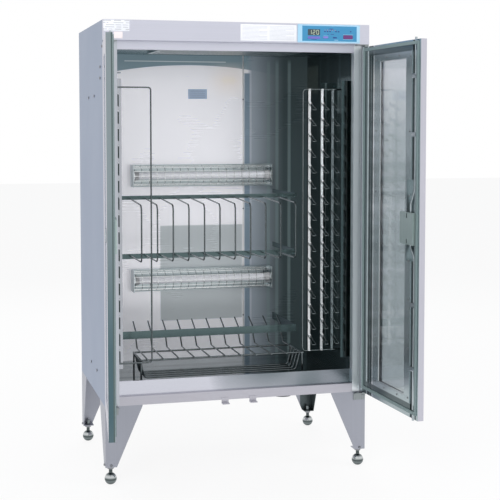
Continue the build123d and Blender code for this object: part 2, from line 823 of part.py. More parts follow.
with BuildPart() as rod_keeps:
    for side in (-1, 1):
        x = (rod_x * side - keep_width / 2, rod_x * side + keep_width / 2)
        block(x, (front_y - keep_web, front_y), (keep_shelf[0], keep_top))
        block(x, (rod_y - keep_hole, front_y), keep_shelf)
        hole = (keep_shelf[0] - 1, keep_shelf[1] + 1)
        upright(keep_hole / 2, rod_x * side, rod_y, hole, Mode.SUBTRACT)
save(rod_keeps.part, "rod_keeps")

with BuildPart() as hinge_brackets:
    for side in (-1, 1):
        x = (panel_edge * side, (panel_edge - bracket_width) * side)
        # upper pivot, under the overhanging fascia
        plate = (head_bottom - bracket_thickness, head_bottom)
        block(x, (front_y - head_overhang, front_y), plate)
        upright(pin_diameter / 2, pivot_x * side, pivot_y, (door_top - pin_engagement, plate[0]))
        upright(washer_diameter / 2, pivot_x * side, pivot_y, (door_top + washer_clearance, plate[0]))
        # lower pivot, on the front of the leg
        plate = (leg_height - bracket_drop_gap - bracket_thickness, leg_height - bracket_drop_gap)
        block(x, (front_y - bracket_reach, front_y), plate)
        block(x, (front_y - bracket_thickness, front_y), (leg_height - bracket_drop, plate[1]))
        upright(pin_diameter / 2, pivot_x * side, pivot_y, (plate[0] - pin_tail, door_bottom + pin_engagement))
        upright(washer_diameter / 2, pivot_x * side, pivot_y, (plate[1], door_bottom - washer_clearance))
save(hinge_brackets.part, "hinge_brackets")

# ======== doors, built closed with the pivot axis at x = y = 0 and the free edge towards +x ========
hinge_edge = -pivot_inset
outer_face = -door_thickness / 2
inner_face = door_thickness / 2
window = (window_inset, window_inset + window_width)
window_heights = (window_bottom, window_top)
pane = (window[0] - glass_overlap, window[1] + glass_overlap)
pane_heights = (window_bottom - glass_overlap, window_top + glass_overlap)
wing = {"left": (-1, -left_open), "right": (1, right_open)}


def hang(piece, side):
    """Returns a door piece turned open on its pivot, mirrored for the right-hand door."""
    sign, angle = wing[side]
    if side == "right":
        piece = piece.mirror(Plane.YZ)
    return Pos(pivot_x * sign, pivot_y, 0) * Rot(0, 0, angle) * piece


with BuildPart() as shell:
    block((hinge_edge, free_edge), (outer_face, inner_face - door_sheet), (door_bottom, door_top))
    block(
        (hinge_edge + door_sheet, free_edge - door_sheet),
        (outer_face + door_sheet, inner_face + door_sheet),
        (door_bottom + door_sheet, door_top - door_sheet),
        Mode.SUBTRACT,
    )
    block(window, (outer_face - 1, outer_face + 2 * door_sheet), window_heights, Mode.SUBTRACT)
    for low, high in ((door_bottom, door_bottom + pin_engagement), (door_top - pin_engagement, door_top)):
        upright(pin_diameter / 2 + pin_boss_wall, 0, 0, (low, high))
        upright(pin_diameter / 2 + fit_clearance, 0, 0, (low - 1, high + 1), Mode.SUBTRACT)
        hole = (low - 1, high + 1)
        upright(rod_diameter / 2 + move_clearance, rod_setback, rod_depth, hole, Mode.SUBTRACT)
    spindle_hole = (outer_face - 1, outer_face + 2 * door_sheet)
    depthwise(spindle_diameter / 2 + fit_clearance, latch_setback, latch_height, spindle_hole, Mode.SUBTRACT)

frame_x = (window[0] - window_frame_margin, window[1] + window_frame_margin)
frame_z = (window_bottom - window_frame_sill, window_top + window_frame_sill)
channel_x = (rod_setback - channel_width / 2, rod_setback + channel_width / 2)
channel_y = (inner_face - channel_depth, inner_face)
channel_z = (door_bottom + door_sheet, door_top - door_sheet)
pocket_z = (pocket_bottom, pocket_top)
with BuildPart() as inner_panel:
    block((hinge_edge, free_edge), (inner_face - door_sheet, inner_face), (door_bottom, door_top))
    block(frame_x, (inner_face, inner_face + window_frame_rise), frame_z)
    walls_x = (channel_x[0] - door_sheet, channel_x[1] + door_sheet)
    block(walls_x, (channel_y[0] - door_sheet, channel_y[1]), channel_z)
    pocket_walls_x = (pocket_inset - door_sheet, walls_x[1])
    pocket_walls_z = (pocket_bottom - door_sheet, pocket_top + door_sheet)
    block(pocket_walls_x, (channel_y[0] - door_sheet, channel_y[1]), pocket_walls_z)
    through_y = (channel_y[0], inner_face + 2 * window_frame_rise)
    block(channel_x, through_y, (channel_z[0] - door_sheet, channel_z[1] + door_sheet), Mode.SUBTRACT)
    block((pocket_inset, channel_x[1]), through_y, pocket_z, Mode.SUBTRACT)
    window_y = (inner_face - 2 * door_sheet, inner_face + 2 * window_frame_rise)
    block(window, window_y, window_heights, Mode.SUBTRACT)
    spindle_hole = (channel_y[0] - 2 * door_sheet, channel_y[0] + door_sheet)
    depthwise(spindle_diameter / 2 + move_clearance, latch_setback, latch_height, spindle_hole, Mode.SUBTRACT)

with BuildPart() as glass:
    for y in (outer_face + door_sheet, inner_face - door_sheet - glass_thickness):
        block(pane, (y, y + glass_thickness), pane_heights)

gasket_x = (gasket_hinge_inset, free_edge - gasket_free_inset)
with BuildPart() as gasket:
    seal_y = (inner_face, inner_face + gasket_thickness)
    block(gasket_x, seal_y, (gasket_bottom, gasket_top))
    block(
        (gasket_x[0] + gasket_width, gasket_x[1] - gasket_width),
        (seal_y[0] - 1, seal_y[1] + 1),
        (gasket_bottom + gasket_width, gasket_top - gasket_width),
        Mode.SUBTRACT,
    )

case_middle = latch_setback + latch_case_offset
case_x = (case_middle - latch_case_width / 2, case_middle + latch_case_width / 2)
case_z = (latch_height - latch_case_height / 2, latch_height + latch_case_height / 2)
case_y = (inner_face + window_frame_rise, inner_face + window_frame_rise + latch_case_depth)
with BuildPart() as latch_case:
    block(case_x, case_y, case_z)
    block(
        (case_x[0] + door_sheet, case_x[1] - door_sheet),
        (case_y[0] - door_sheet, case_y[1] - door_sheet),
        (case_z[0] + door_sheet, case_z[1] - door_sheet),
        Mode.SUBTRACT,
    )
    for z in (case_z[0] + case_slot_inset, case_z[1] - case_slot_inset):
        slot_x = (latch_setback - case_slot_width / 2, latch_setback + case_slot_width / 2)
        slot_z = (z - case_slot_height / 2, z + case_slot_height / 2)
        block(slot_x, (case_y[1] - 2 * door_sheet, case_y[1] + 1), slot_z, Mode.SUBTRACT)


def latch_rod(upward):
    """Returns the upper or the lower rod with the toothed bar that its pinion drives."""
    way = 1 if upward else -1
    near = pinion_radius + pinion_clearance
    bar = sorted((latch_setback + way * near, latch_setback + way * (near + rack_width)))
    link = sorted((latch_setback - way * rod_diameter / 2, latch_setback + way * (near + rack_width)))
    rack_y = (rod_depth - rack_thickness / 2, rod_depth + rack_thickness / 2)
    end = latch_height + way * (rack_length - rack_offset)
    tip = door_top + rod_rest_reach if upward else door_bottom - rod_rest_reach
    jog = (jog_low, jog_high) if upward else (jog_bottom_high, jog_bottom_low)
    bent = wire_form(
        [
            (latch_setback, rod_depth, end - way * rack_width / 2),
            (latch_setback, rod_depth, jog[0]),
            (rod_setback, rod_depth, jog[1]),
            (rod_setback, rod_depth, tip),
        ],
        rod_bend,
        rod_diameter,
    )
    with BuildPart() as rod:
        add(bent)
        block(bar, rack_y, sorted((end - way * rack_length, end)))
        block(link, rack_y, sorted((end - way * rack_width, end)))
    return rod.part


with BuildPart() as lever:
    stand_off = outer_face - lever_stand_off
    depthwise(spindle_diameter / 2, latch_setback, latch_height, (stand_off, channel_y[0] + 1))
    depthwise(
        pinion_radius,
        latch_setback,
        latch_height,
        (channel_y[0] + move_clearance, rod_depth + rack_thickness / 2),
    )
    rosette = (outer_face - washer_clearance - rosette_thickness, outer_face - washer_clearance)
    depthwise(rosette_diameter / 2, latch_setback, latch_height, rosette)
    with BuildSketch(Plane((latch_setback, stand_off, latch_height), x_dir=(1, 0, 0), z_dir=(0, -1, 0))):
        with Locations((-(lever_length - lever_width) / 2, 0)):
            SlotOverall(lever_length, lever_width)
    extrude(amount=lever_thickness)
    fillet(lever.faces().sort_by(Axis.Y)[0].edges(), lever_edge)

with BuildPart() as knob:
    depthwise(
        spindle_diameter / 2,
        latch_setback,
        latch_height,
        (outer_face - 1, channel_y[0] + 1),
    )
    depthwise(
        pinion_radius,
        latch_setback,
        latch_height,
        (channel_y[0] + move_clearance, rod_depth + rack_thickness / 2),
    )
    disc = (outer_face - knob_proud, outer_face - washer_clearance)
    depthwise(rosette_diameter / 2, latch_setback, latch_height, disc)
    for side in (-1, 1):
        x = (latch_setback + side * grip_width / 2, latch_setback + side * rosette_diameter / 3)
        grip_z = (latch_height - rosette_diameter / 3, latch_height + rosette_diameter / 3)
        block(x, (outer_face - knob_proud - 1, outer_face - knob_proud + grip_depth), grip_z, Mode.SUBTRACT)

door_pieces = {
    "shell": shell.part,
    "inner_panel": inner_panel.part,
    "glass": glass.part,
    "gasket": gasket.part,
    "latch_case": latch_case.part,
    "rod_upper": latch_rod(True),
    "rod_lower": latch_rod(False),
}
for side in ("left", "right"):
    for name, piece in door_pieces.items():
        save(hang(piece, side), f"{side}_door_{name}")
    save(hang(lever.part if side == "right" else knob.part, side), f"{side}_door_handle")

# ======== legs and feet ========
with BuildPart() as leg:
    # one leg with its outer corner at x = y = 0, spreading towards +x and +y
    with BuildSketch(Plane.XZ):
        with BuildLine():
            Polyline(
                (0, leg_height),
                (leg_top_width, leg_height),
                (leg_top_width, leg_height - leg_skirt),
                (leg_bottom_width, leg_bottom),
                (0, leg_bottom),
                close=True,
            )
        make_face()
    extrude(amount=-leg_sheet)
    with BuildSketch(Plane.YZ):
        with BuildLine():
            Polyline(
                (0, leg_height),
                (leg_top_width, leg_height),
                (leg_top_width, leg_height - leg_skirt),
                (leg_bottom_width, leg_bottom),
                (0, leg_bottom),
                close=True,
            )
        make_face()
    extrude(amount=leg_sheet)
    with BuildSketch(Plane.XY.offset(leg_height - leg_sheet)):
        with BuildLine():
            Polyline(
                (0, 0),
                (leg_top_width, 0),
                (leg_top_width, leg_plate_corner),
                (leg_plate_corner, leg_top_width),
                (0, leg_top_width),
                close=True,
            )
        make_face()
    extrude(amount=leg_sheet)
    block((0, leg_bottom_width), (0, leg_bottom_width), (leg_bottom - leg_sheet, leg_bottom))
    hole = (leg_bottom - 2 * leg_sheet, leg_bottom + leg_sheet)
    upright(stem_diameter / 2 + fit_clearance, foot_inset, foot_inset, hole, Mode.SUBTRACT)

corners = {
    "front_left": (-1, 1),
    "front_right": (1, 1),
    "rear_left": (-1, -1),
    "rear_right": (1, -1),
}


def at_corner(piece, across, along):
    """Returns a leg piece mirrored and moved to its corner of the cabinet."""
    if across > 0:
        piece = piece.mirror(Plane.YZ)
    if along < 0:
        piece = piece.mirror(Plane.XZ)
    return Pos(half_width * across, front_y if along > 0 else back_y, 0) * piece


with BuildPart() as foot:
    with Locations((foot_inset, foot_inset, ball_diameter / 2 - ball_flat)):
        Sphere(ball_diameter / 2)
    upright(stem_diameter / 2, foot_inset, foot_inset, (ball_diameter / 2, stem_top))
    under = (foot_inset - ball_diameter, foot_inset + ball_diameter)
    block(under, under, (-ball_diameter, 0), Mode.SUBTRACT)

with BuildPart() as nut:
    with BuildSketch(Plane.XY.offset(leg_bottom - leg_sheet - nut_height)):
        with Locations((foot_inset, foot_inset)):
            RegularPolygon(nut_across_flats / 2, 6, major_radius=False)
            Circle(stem_diameter / 2 + fit_clearance, mode=Mode.SUBTRACT)
    extrude(amount=nut_height)

legs = []
nuts = []
for name, (across, along) in corners.items():
    legs.append(at_corner(leg.part, across, along))
    nuts.append(at_corner(nut.part, across, along))
    save(at_corner(foot.part, across, along), f"foot_{name}")
save(Compound(children=legs), "legs")
save(Compound(children=nuts), "foot_nuts")
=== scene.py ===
"""The looks of a free-standing sterilizer cabinet for knives and cutting boards.

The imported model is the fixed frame. Each class here dresses one sub-assembly of it with finishes, and models
the small pieces that only show: labels, display, screws, lamp sockets, louvre hoods and the like.
"""
import json
import logging
import math
from collections.abc import Callable, Iterable, Sequence
from dataclasses import dataclass
from enum import Enum

import bpy
from mathutils import Matrix, Vector


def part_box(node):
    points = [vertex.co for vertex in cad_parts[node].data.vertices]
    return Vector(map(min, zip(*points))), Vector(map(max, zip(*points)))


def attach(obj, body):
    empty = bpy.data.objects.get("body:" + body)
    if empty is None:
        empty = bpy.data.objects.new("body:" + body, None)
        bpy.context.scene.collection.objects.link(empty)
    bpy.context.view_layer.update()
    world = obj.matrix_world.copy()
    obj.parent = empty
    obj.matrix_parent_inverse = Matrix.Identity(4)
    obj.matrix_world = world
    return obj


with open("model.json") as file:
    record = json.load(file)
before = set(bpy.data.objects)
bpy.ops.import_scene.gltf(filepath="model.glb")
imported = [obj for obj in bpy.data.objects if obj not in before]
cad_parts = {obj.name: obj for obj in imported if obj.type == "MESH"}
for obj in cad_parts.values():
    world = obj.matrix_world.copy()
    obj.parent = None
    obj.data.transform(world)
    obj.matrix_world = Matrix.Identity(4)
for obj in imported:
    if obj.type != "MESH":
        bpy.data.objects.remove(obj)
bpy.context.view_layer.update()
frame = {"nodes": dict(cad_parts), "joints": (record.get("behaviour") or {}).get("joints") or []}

LOG = logging.getLogger("cabinet")
MM = 0.001
PHOTO_SIDE = 500
SENSOR_WIDTH = 36.0

Colour = tuple[float, float, float]
Triple = tuple[float, float, float]
Area = tuple[float, float, float, float]
Socket = bpy.types.NodeSocket
Node = bpy.types.Node
Piece = bpy.types.Object


# ---------------------------------------------------------------- node trees


class Graph:
    """One node tree, with short calls that add nodes and feed their inputs."""

    def __init__(self, tree: bpy.types.NodeTree) -> None:
        """Keeps the tree that the nodes are added to.

        Args:
            tree: the tree of a material, a world or a shader group.
        """
        self.tree = tree

    def add(self, kind: str, feeds: dict | None = None, **settings: object) -> Node:
        """Adds a node.

        Args:
            kind: the node's type name.
            feeds: for each input, by name or number, a value or the socket that feeds it.
            settings: attributes of the node, set before its inputs.

        Returns:
            The new node.
        """
        node = self.tree.nodes.new(kind)
        for key, value in settings.items():
            setattr(node, key, value)
        for key, value in (feeds or {}).items():
            if isinstance(value, Socket):
                self.tree.links.new(value, node.inputs[key])
            else:
                node.inputs[key].default_value = value
        return node

    def math(self, operation: str, *terms: object, clamp: bool = False) -> Socket:
        """Adds a Math node and returns its output. Terms are values or sockets."""
        node = self.add("ShaderNodeMath", dict(enumerate(terms)), operation=operation, use_clamp=clamp)
        return node.outputs[0]

    def vector(self, operation: str, *terms: object) -> Socket:
        """Adds a Vector Math node and returns its vector. Terms are values or sockets."""
        return self.add("ShaderNodeVectorMath", dict(enumerate(terms)), operation=operation).outputs[0]

    def mix(self, factor: object, first: object, second: object) -> Socket:
        """Adds a colour mix and returns its colour. Colours are RGB triples or sockets."""
        first, second = (c if isinstance(c, Socket) else (*c, 1.0) for c in (first, second))
        return self.add("ShaderNodeMix", {0: factor, 6: first, 7: second}, data_type="RGBA").outputs[2]

    def group(self, effect: "Effect", feeds: dict) -> Node:
        """Places a shared effect, with its inputs by name, and returns its node."""
        return self.add("ShaderNodeGroup", feeds, node_tree=effect.tree())


def blank_graph(owner: bpy.types.Material | bpy.types.World) -> Graph:
    """Returns the emptied node tree of a material or a world."""
    owner.use_nodes = True
    owner.node_tree.nodes.clear()
    return Graph(owner.node_tree)


Drawing = Callable[[Graph, Node, Node], None]


@dataclass(frozen=True)
class Effect:
    """A shader node group with named inputs and outputs, built once and placed in each material."""

    name: str
    inputs: tuple[tuple[str, str], ...]
    outputs: tuple[tuple[str, str], ...]
    draw: Drawing

    def tree(self) -> bpy.types.NodeTree:
        """Returns the group's tree, which the first call builds."""
        if self.name in bpy.data.node_groups:
            return bpy.data.node_groups[self.name]
        tree = bpy.data.node_groups.new(self.name, "ShaderNodeTree")
        for side, sockets in (("INPUT", self.inputs), ("OUTPUT", self.outputs)):
            for name, kind in sockets:
                tree.interface.new_socket(name, in_out=side, socket_type=f"NodeSocket{kind}")
        graph = Graph(tree)
        self.draw(graph, graph.add("NodeGroupInput"), graph.add("NodeGroupOutput"))
        return tree


def draw_grain(graph: Graph, given: Node, result: Node) -> None:
    """Brushing marks: noise drawn out by the frequencies along X, Y and Z, over broad faint patches."""
    stretched = graph.vector("MULTIPLY", given.outputs["Vector"], given.outputs["Frequency"])
    line_feeds = {"Vector": stretched, "Scale": 1.0, "Detail": 3.0, "Roughness": 0.65}
    lines = graph.add("ShaderNodeTexNoise", line_feeds)
    patch_feeds = {"Vector": given.outputs["Vector"], "Scale": 4.5, "Detail": 2.0}
    patches = graph.add("ShaderNodeTexNoise", patch_feeds)
    graph.tree.links.new(lines.outputs[0], result.inputs["Lines"])
    graph.tree.links.new(patches.outputs[0], result.inputs["Patches"])


def draw_zone(graph: Graph, given: Node, result: Node) -> None:
    """A box with soft faces: 1 inside Low to High, 0 past a Blur beyond them."""
    share = 1.0
    for past, start in (("Vector", "Low"), ("High", "Vector")):
        inwards = graph.vector("SUBTRACT", given.outputs[past], given.outputs[start])
        reach = graph.vector("DIVIDE", inwards, given.outputs["Blur"])
        parts = graph.add("ShaderNodeSeparateXYZ", {0: reach})
        for part in parts.outputs:
            share = graph.math("MULTIPLY", share, graph.math("ADD", part, 0.5, clamp=True))
    graph.tree.links.new(share, result.inputs["Mask"])


def draw_ruling(graph: Graph, given: Node, result: Node) -> None:
    """Fine level lines at a pitch, broken into uneven dashes, as on a printed form seen from afar."""
    parts = graph.add("ShaderNodeSeparateXYZ", {0: given.outputs["Vector"]})
    rows = graph.math("DIVIDE", parts.outputs[2], given.outputs["Pitch"])
    line = graph.math("LESS_THAN", graph.math("FRACT", rows), given.outputs["Weight"])
    cells = graph.add("ShaderNodeCombineXYZ", {
        0: graph.math("DIVIDE", parts.outputs[0], given.outputs["Pitch"]),
        1: graph.math("FLOOR", rows),
    })
    noise = graph.add("ShaderNodeTexNoise", {"Vector": cells.outputs[0], "Scale": 0.45, "Detail": 1.0})
    dashes = graph.math("GREATER_THAN", noise.outputs[0], 0.47)
    graph.tree.links.new(graph.math("MULTIPLY", line, dashes), result.inputs["Mask"])


def draw_disc(graph: Graph, given: Node, result: Node) -> None:
    """A disc along Y with a soft rim: 1 inside the Radius round the Centre, 0 beyond it."""
    away = graph.vector("SUBTRACT", given.outputs["Vector"], given.outputs["Centre"])
    flat = graph.vector("MULTIPLY", away, (1.0, 0.0, 1.0))
    length = graph.add("ShaderNodeVectorMath", {0: flat}, operation="LENGTH").outputs["Value"]
    inwards = graph.math("SUBTRACT", given.outputs["Radius"], length)
    reach = graph.math("DIVIDE", inwards, given.outputs["Blur"])
    graph.tree.links.new(graph.math("ADD", reach, 0.5, clamp=True), result.inputs["Mask"])


def effect(name: str, inputs: dict[str, str], outputs: Sequence[str], draw: Drawing) -> Effect:
    """Returns an effect that takes a Vector and the inputs, given as name: kind, and gives numbers."""
    return Effect(name, (("Vector", "Vector"), *inputs.items()), tuple((n, "Float") for n in outputs), draw)


GRAIN = effect("brushing", {"Frequency": "Vector"}, ("Lines", "Patches"), draw_grain)
ZONE = effect("soft_box", {"Low": "Vector", "High": "Vector", "Blur": "Vector"}, ("Mask",), draw_zone)
DISC = effect("soft_disc", {"Centre": "Vector", "Radius": "Float", "Blur": "Float"}, ("Mask",), draw_disc)
RULING = effect("ruled_lines", {"Pitch": "Float", "Weight": "Float"}, ("Mask",), draw_ruling)

BLOTCH_SHADE = 0.72
BLOTCH_ROUGHNESS = 0.08
BUMP_STRENGTH = 0.25
STREAK_EDGE = 7.0
RULE_WEIGHT = 0.38
RULE_SHADE = 0.62


# ---------------------------------------------------------------- finishes


class Grain(Enum):
    """Which way a sheet is brushed: noise frequencies per metre along X, Y and Z."""

    ALONG_X = (2.5, 420.0, 420.0)
    ALONG_Y = (420.0, 2.5, 420.0)
    ALONG_Z = (420.0, 420.0, 2.5)
    ROUND = (160.0, 160.0, 160.0)


@dataclass(frozen=True)
class Patch:
    """An area of a sheet painted in another colour: a soft box in metres, and its colour. Most are painted
    reflections, highlights and shade; one is the control panel's blue print.
    """

    low: Triple
    high: Triple
    colour: Colour
    blur: float | Triple = 0.004
    amount: float = 1.0

    def reach(self) -> Triple:
        """Returns how soft its faces are along X, Y and Z."""
        return self.blur if isinstance(self.blur, tuple) else (self.blur,) * 3


def upright(area: Sequence[float], depth: Sequence[float], colour: Colour,
            blur: float | Triple = 0.004, amount: float = 1.0) -> Patch:
    """Makes a patch on a wall that faces Y.

    Args:
        area: left, right, bottom and top, in metres.
        depth: the range of Y that it reaches through.
        colour: the painted reflection or painted shade there.
        blur: how soft its sides are.
        amount: how strongly it covers the wall's own colour.

    Returns:
        The patch.
    """
    left, right, bottom, top = area
    return Patch((left, depth[0], bottom), (right, depth[1], top), colour, blur, amount)


@dataclass(frozen=True)
class Arch:
    """A painted reflection beyond a disc along Y: the disc in metres, and the colour painted outside it."""

    centre: Triple
    radius: float
    colour: Colour
    blur: float = 0.004

    def paint(self, graph: Graph, place: Socket, colour: Socket) -> Socket:
        """Returns the colour with the area outside the disc laid over it."""
        feeds = {"Vector": place, "Centre": self.centre, "Radius": self.radius, "Blur": self.blur}
        disc = graph.group(DISC, feeds)
        return graph.mix(disc.outputs[0], self.colour, colour)


@dataclass(frozen=True)
class Finish:
    """A surface: its colour, how metallic and rough it is, its brushing and the areas painted on it, mostly
    painted reflections and shade.
    """

    name: str
    colour: Colour
    metallic: float = 1.0
    roughness: float = 0.3
    grain: Grain = Grain.ALONG_Z
    contrast: float = 0.10
    relief: float = 0.012
    brush: float = 0.10
    patches: tuple[Patch, ...] = ()
    arches: tuple[Arch, ...] = ()
    # Painted reflection streaking on polished inner sheets, with its frequency and share.
    reflection_streaks: Colour | None = None
    streak_frequency: Triple = (60.0, 60.0, 1.2)
    streak_share: float = 0.5
    turn: Matrix | None = None
    ruling: float = 0.0
    transmission: float = 0.0
    coat: float = 0.0
    # Emission in the painted colour: on the display, the indicators and the lamp tubes it is their own light;
    # on the back wall and the tag it is painted light.
    glow: float = 0.0

    def place(self, graph: Graph) -> Socket:
        """Returns the pattern's coordinates, turned into a door's own frame where there is one."""
        coordinates = graph.add("ShaderNodeTexCoord").outputs["Object"]
        if self.turn is None:
            return coordinates
        location, rotation, scale = self.turn.decompose()
        mapping = graph.add("ShaderNodeMapping", {
            "Vector": coordinates, "Location": location, "Rotation": rotation.to_euler(), "Scale": scale,
        }, vector_type="TEXTURE")
        return mapping.outputs[0]

    def paint(self, graph: Graph, place: Socket, grain: Node) -> Socket:
        """Returns the base colour: brushing, then painted reflections in arches and areas, then painted
        reflection streaking, then ruled lines.

        Args:
            graph: the material's graph.
            place: the pattern's coordinates.
            grain: the brushing group.

        Returns:
            The colour socket.
        """
        dark = tuple(c * (1 - self.contrast) for c in self.colour)
        light = tuple(min(1.0, c * (1 + self.contrast)) for c in self.colour)
        colour = graph.mix(grain.outputs["Lines"], dark, light)
        blotch = graph.math("MULTIPLY", grain.outputs["Patches"], self.contrast)
        colour = graph.mix(blotch, colour, tuple(c * BLOTCH_SHADE for c in self.colour))
        # Painted reflections and shade: arches, then areas; the areas also hold the control panel's blue
        # print.
        for arch in self.arches:
            colour = arch.paint(graph, place, colour)
        for patch in self.patches:
            feeds = {"Vector": place, "Low": patch.low, "High": patch.high, "Blur": patch.reach()}
            mask = graph.group(ZONE, feeds).outputs[0]
            colour = graph.mix(graph.math("MULTIPLY", mask, patch.amount), colour, patch.colour)
        # Painted reflection streaking.
        if self.reflection_streaks is not None:
            stretched = graph.vector("MULTIPLY", place, self.streak_frequency)
            noise = graph.add("ShaderNodeTexNoise", {"Vector": stretched, "Scale": 1.0, "Detail": 2.0})
            past = graph.math("SUBTRACT", noise.outputs[0], 1.0 - self.streak_share)
            edge = graph.math("MULTIPLY", past, STREAK_EDGE, clamp=True)
            colour = graph.mix(edge, colour, self.reflection_streaks)
        if self.ruling:
            feeds = {"Vector": place, "Pitch": self.ruling, "Weight": RULE_WEIGHT}
            lines = graph.group(RULING, feeds).outputs[0]
            colour = graph.mix(lines, colour, tuple(c * RULE_SHADE for c in self.colour))
        return colour

    def build(self) -> bpy.types.Material:
        """Returns the material, which the first call builds."""
        name = f"look_{self.name}"
        if name in bpy.data.materials:
            return bpy.data.materials[name]
        material = bpy.data.materials.new(name)
        graph = blank_graph(material)
        place = self.place(graph)
        grain = graph.group(GRAIN, {"Vector": place, "Frequency": self.grain.value})
        swing = graph.math("MULTIPLY", grain.outputs["Lines"], self.brush)
        rough = graph.math("ADD", swing, self.roughness - self.brush / 2)
        cloud = graph.math("MULTIPLY", grain.outputs["Patches"], BLOTCH_ROUGHNESS)
        rough = graph.math("ADD", cloud, rough, clamp=True)
        bump = graph.add("ShaderNodeBump", {
            "Strength": BUMP_STRENGTH, "Distance": self.relief * MM, "Height": grain.outputs["Lines"],
        })
        painted = self.paint(graph, place, grain)
        shader = graph.add("ShaderNodeBsdfPrincipled", {
            "Base Color": painted,
            "Metallic": self.metallic,
            "Roughness": rough,
            "Normal": bump.outputs[0],
            "Transmission Weight": self.transmission,
            "Coat Weight": self.coat,
        })
        # Emission in the painted colour, which is painted light where the part is no lamp.
        if self.glow:
            graph.tree.links.new(painted, shader.inputs["Emission Color"])
            shader.inputs["Emission Strength"].default_value = self.glow
        output = graph.add("ShaderNodeOutputMaterial", {"Surface": shader.outputs[0]})
        output.is_active_output = True
        return material


def matte(name: str, colour: Colour, roughness: float = 0.3, **more: object) -> Finish:
    """Returns a finish without metal or a brushing direction.

    Args:
        name: the finish's name.
        colour: its colour.
        roughness: how rough it is.
        more: the finish's other values.

    Returns:
        The finish.
    """
    return Finish(name, colour, metallic=0.0, roughness=roughness, grain=Grain.ROUND, **more)


def dress(finish: Finish, *nodes: str) -> None:
    """Gives nodes of the frame one finish, each over its whole surface.

    Args:
        finish: the finish.
        nodes: the nodes' names.
    """
    for node in nodes:
        piece = frame["nodes"][node]
        if not piece.material_slots:
            piece.data.materials.append(None)
        for place in piece.material_slots:
            place.material = finish.build()
        LOG.info("node %s: %s", node, finish.name)


# ---------------------------------------------------------------- modelling by hand


def begin() -> None:
    """Leaves edit mode and deselects everything, as the frame's nodes come in selected."""
    if bpy.context.object and bpy.context.object.mode != "OBJECT":
        bpy.ops.object.mode_set(mode="OBJECT")
    bpy.ops.object.select_all(action="DESELECT")


def pick(piece: Piece, wanted: Callable[[bpy.types.MeshPolygon], bool]) -> None:
    """Selects the faces that pass a test and enters edit mode.

    Args:
        piece: the mesh object.
        wanted: the test of one face.
    """
    mesh = piece.data
    for parts in (mesh.vertices, mesh.edges):
        parts.foreach_set("select", [False] * len(parts))
    for face in mesh.polygons:
        face.select = wanted(face)
    bpy.ops.object.mode_set(mode="EDIT")
    bpy.ops.mesh.select_mode(type="FACE")


def leave() -> None:
    """Leaves edit mode."""
    bpy.ops.object.mode_set(mode="OBJECT")


def rim(width: float) -> None:
    """Insets the selected faces by a width."""
    bpy.ops.mesh.inset(thickness=width, depth=0)


def pull(*step: float) -> None:
    """Extrudes the selected faces by a step."""
    bpy.ops.mesh.extrude_region_move(TRANSFORM_OT_translate={"value": step})


def metres(sizes: Iterable[float]) -> tuple[float, ...]:
    """Returns sizes given in millimetres in metres."""
    return tuple(size * MM for size in sizes)


def block(spot: Sequence[float], size: Sequence[float]) -> Matrix:
    """Returns the matrix that puts a unit bar on a spot in a size, both in metres."""
    return Matrix.Translation(spot) @ Matrix.Diagonal((*size, 1))


def settle(piece: Piece) -> None:
    """Leaves edit mode and moves the object's place into its mesh."""
    if piece.mode != "OBJECT":
        leave()
    bpy.ops.object.transform_apply(location=True, rotation=True, scale=True)


def round_edges(piece: Piece, width: float, segments: int = 2) -> None:
    """Bevels every sharp edge of a piece with an applied modifier.

    Args:
        piece: the mesh object, which is active.
        width: the bevel in metres.
        segments: how many faces round it.
    """
    bpy.ops.object.modifier_add(type="BEVEL")
    bevel = piece.modifiers[-1]
    bevel.width = width
    bevel.segments = segments
    bevel.limit_method = "ANGLE"
    bpy.ops.object.modifier_apply(modifier=bevel.name)


def plate(name: str, low: Sequence[float], high: Sequence[float], edge: float) -> Piece:
    """Makes a plate with rounded edges from a cube primitive.

    Args:
        name: the piece's name.
        low: its lowest corner, in metres.
        high: its highest corner.
        edge: the rounding of its edges.

    Returns:
        The object, at the origin with its place in its mesh.
    """
    begin()
    middle = (Vector(low) + Vector(high)) / 2
    bpy.ops.mesh.primitive_cube_add(size=1, location=middle)
    piece = bpy.context.object
    piece.name = name
    piece.scale = Vector(high) - Vector(low)
    settle(piece)
    round_edges(piece, edge)
    return piece


def facing(direction: Sequence[float]) -> Callable[[bpy.types.MeshPolygon], bool]:
    """Returns a test for faces whose normal lies within about 8 degrees of a direction."""
    wanted = Vector(direction).normalized()
    return lambda face: face.normal.dot(wanted) > 0.99


def sink(piece: Piece, direction: Sequence[float], inset: float, depth: float) -> None:
    """Insets the faces that look in a direction and moves them in, or out with a negative depth.

    Args:
        piece: the mesh object, which is active.
        direction: where the faces look.
        inset: the width of the rim that stays, in metres.
        depth: how far the inner face goes in.
    """
    pick(piece, facing(direction))
    rim(inset)
    pull(*(Vector(direction).normalized() * -depth))
    leave()


def turned(name: str, radius: float, length: float, sides: int = 24) -> Piece:
    """Makes a round blank along Z that stands on the origin, from a cylinder primitive.

    Args:
        name: the piece's name.
        radius: its radius, in metres.
        length: its length.
        sides: its number of sides.

    Returns:
        The object, still to be shaped.
    """
    begin()
    bpy.ops.mesh.primitive_cylinder_add(vertices=sides, radius=radius, depth=length,
                                        location=(0, 0, length / 2))
    piece = bpy.context.object
    piece.name = name
    settle(piece)
    return piece


def join(parts: Sequence[Piece], name: str) -> Piece:
    """Joins parts into the first of them, names it and returns it."""
    begin()
    for part in parts:
        part.select_set(True)
    bpy.context.view_layer.objects.active = parts[0]
    bpy.ops.object.join()
    parts[0].name = name
    return parts[0]


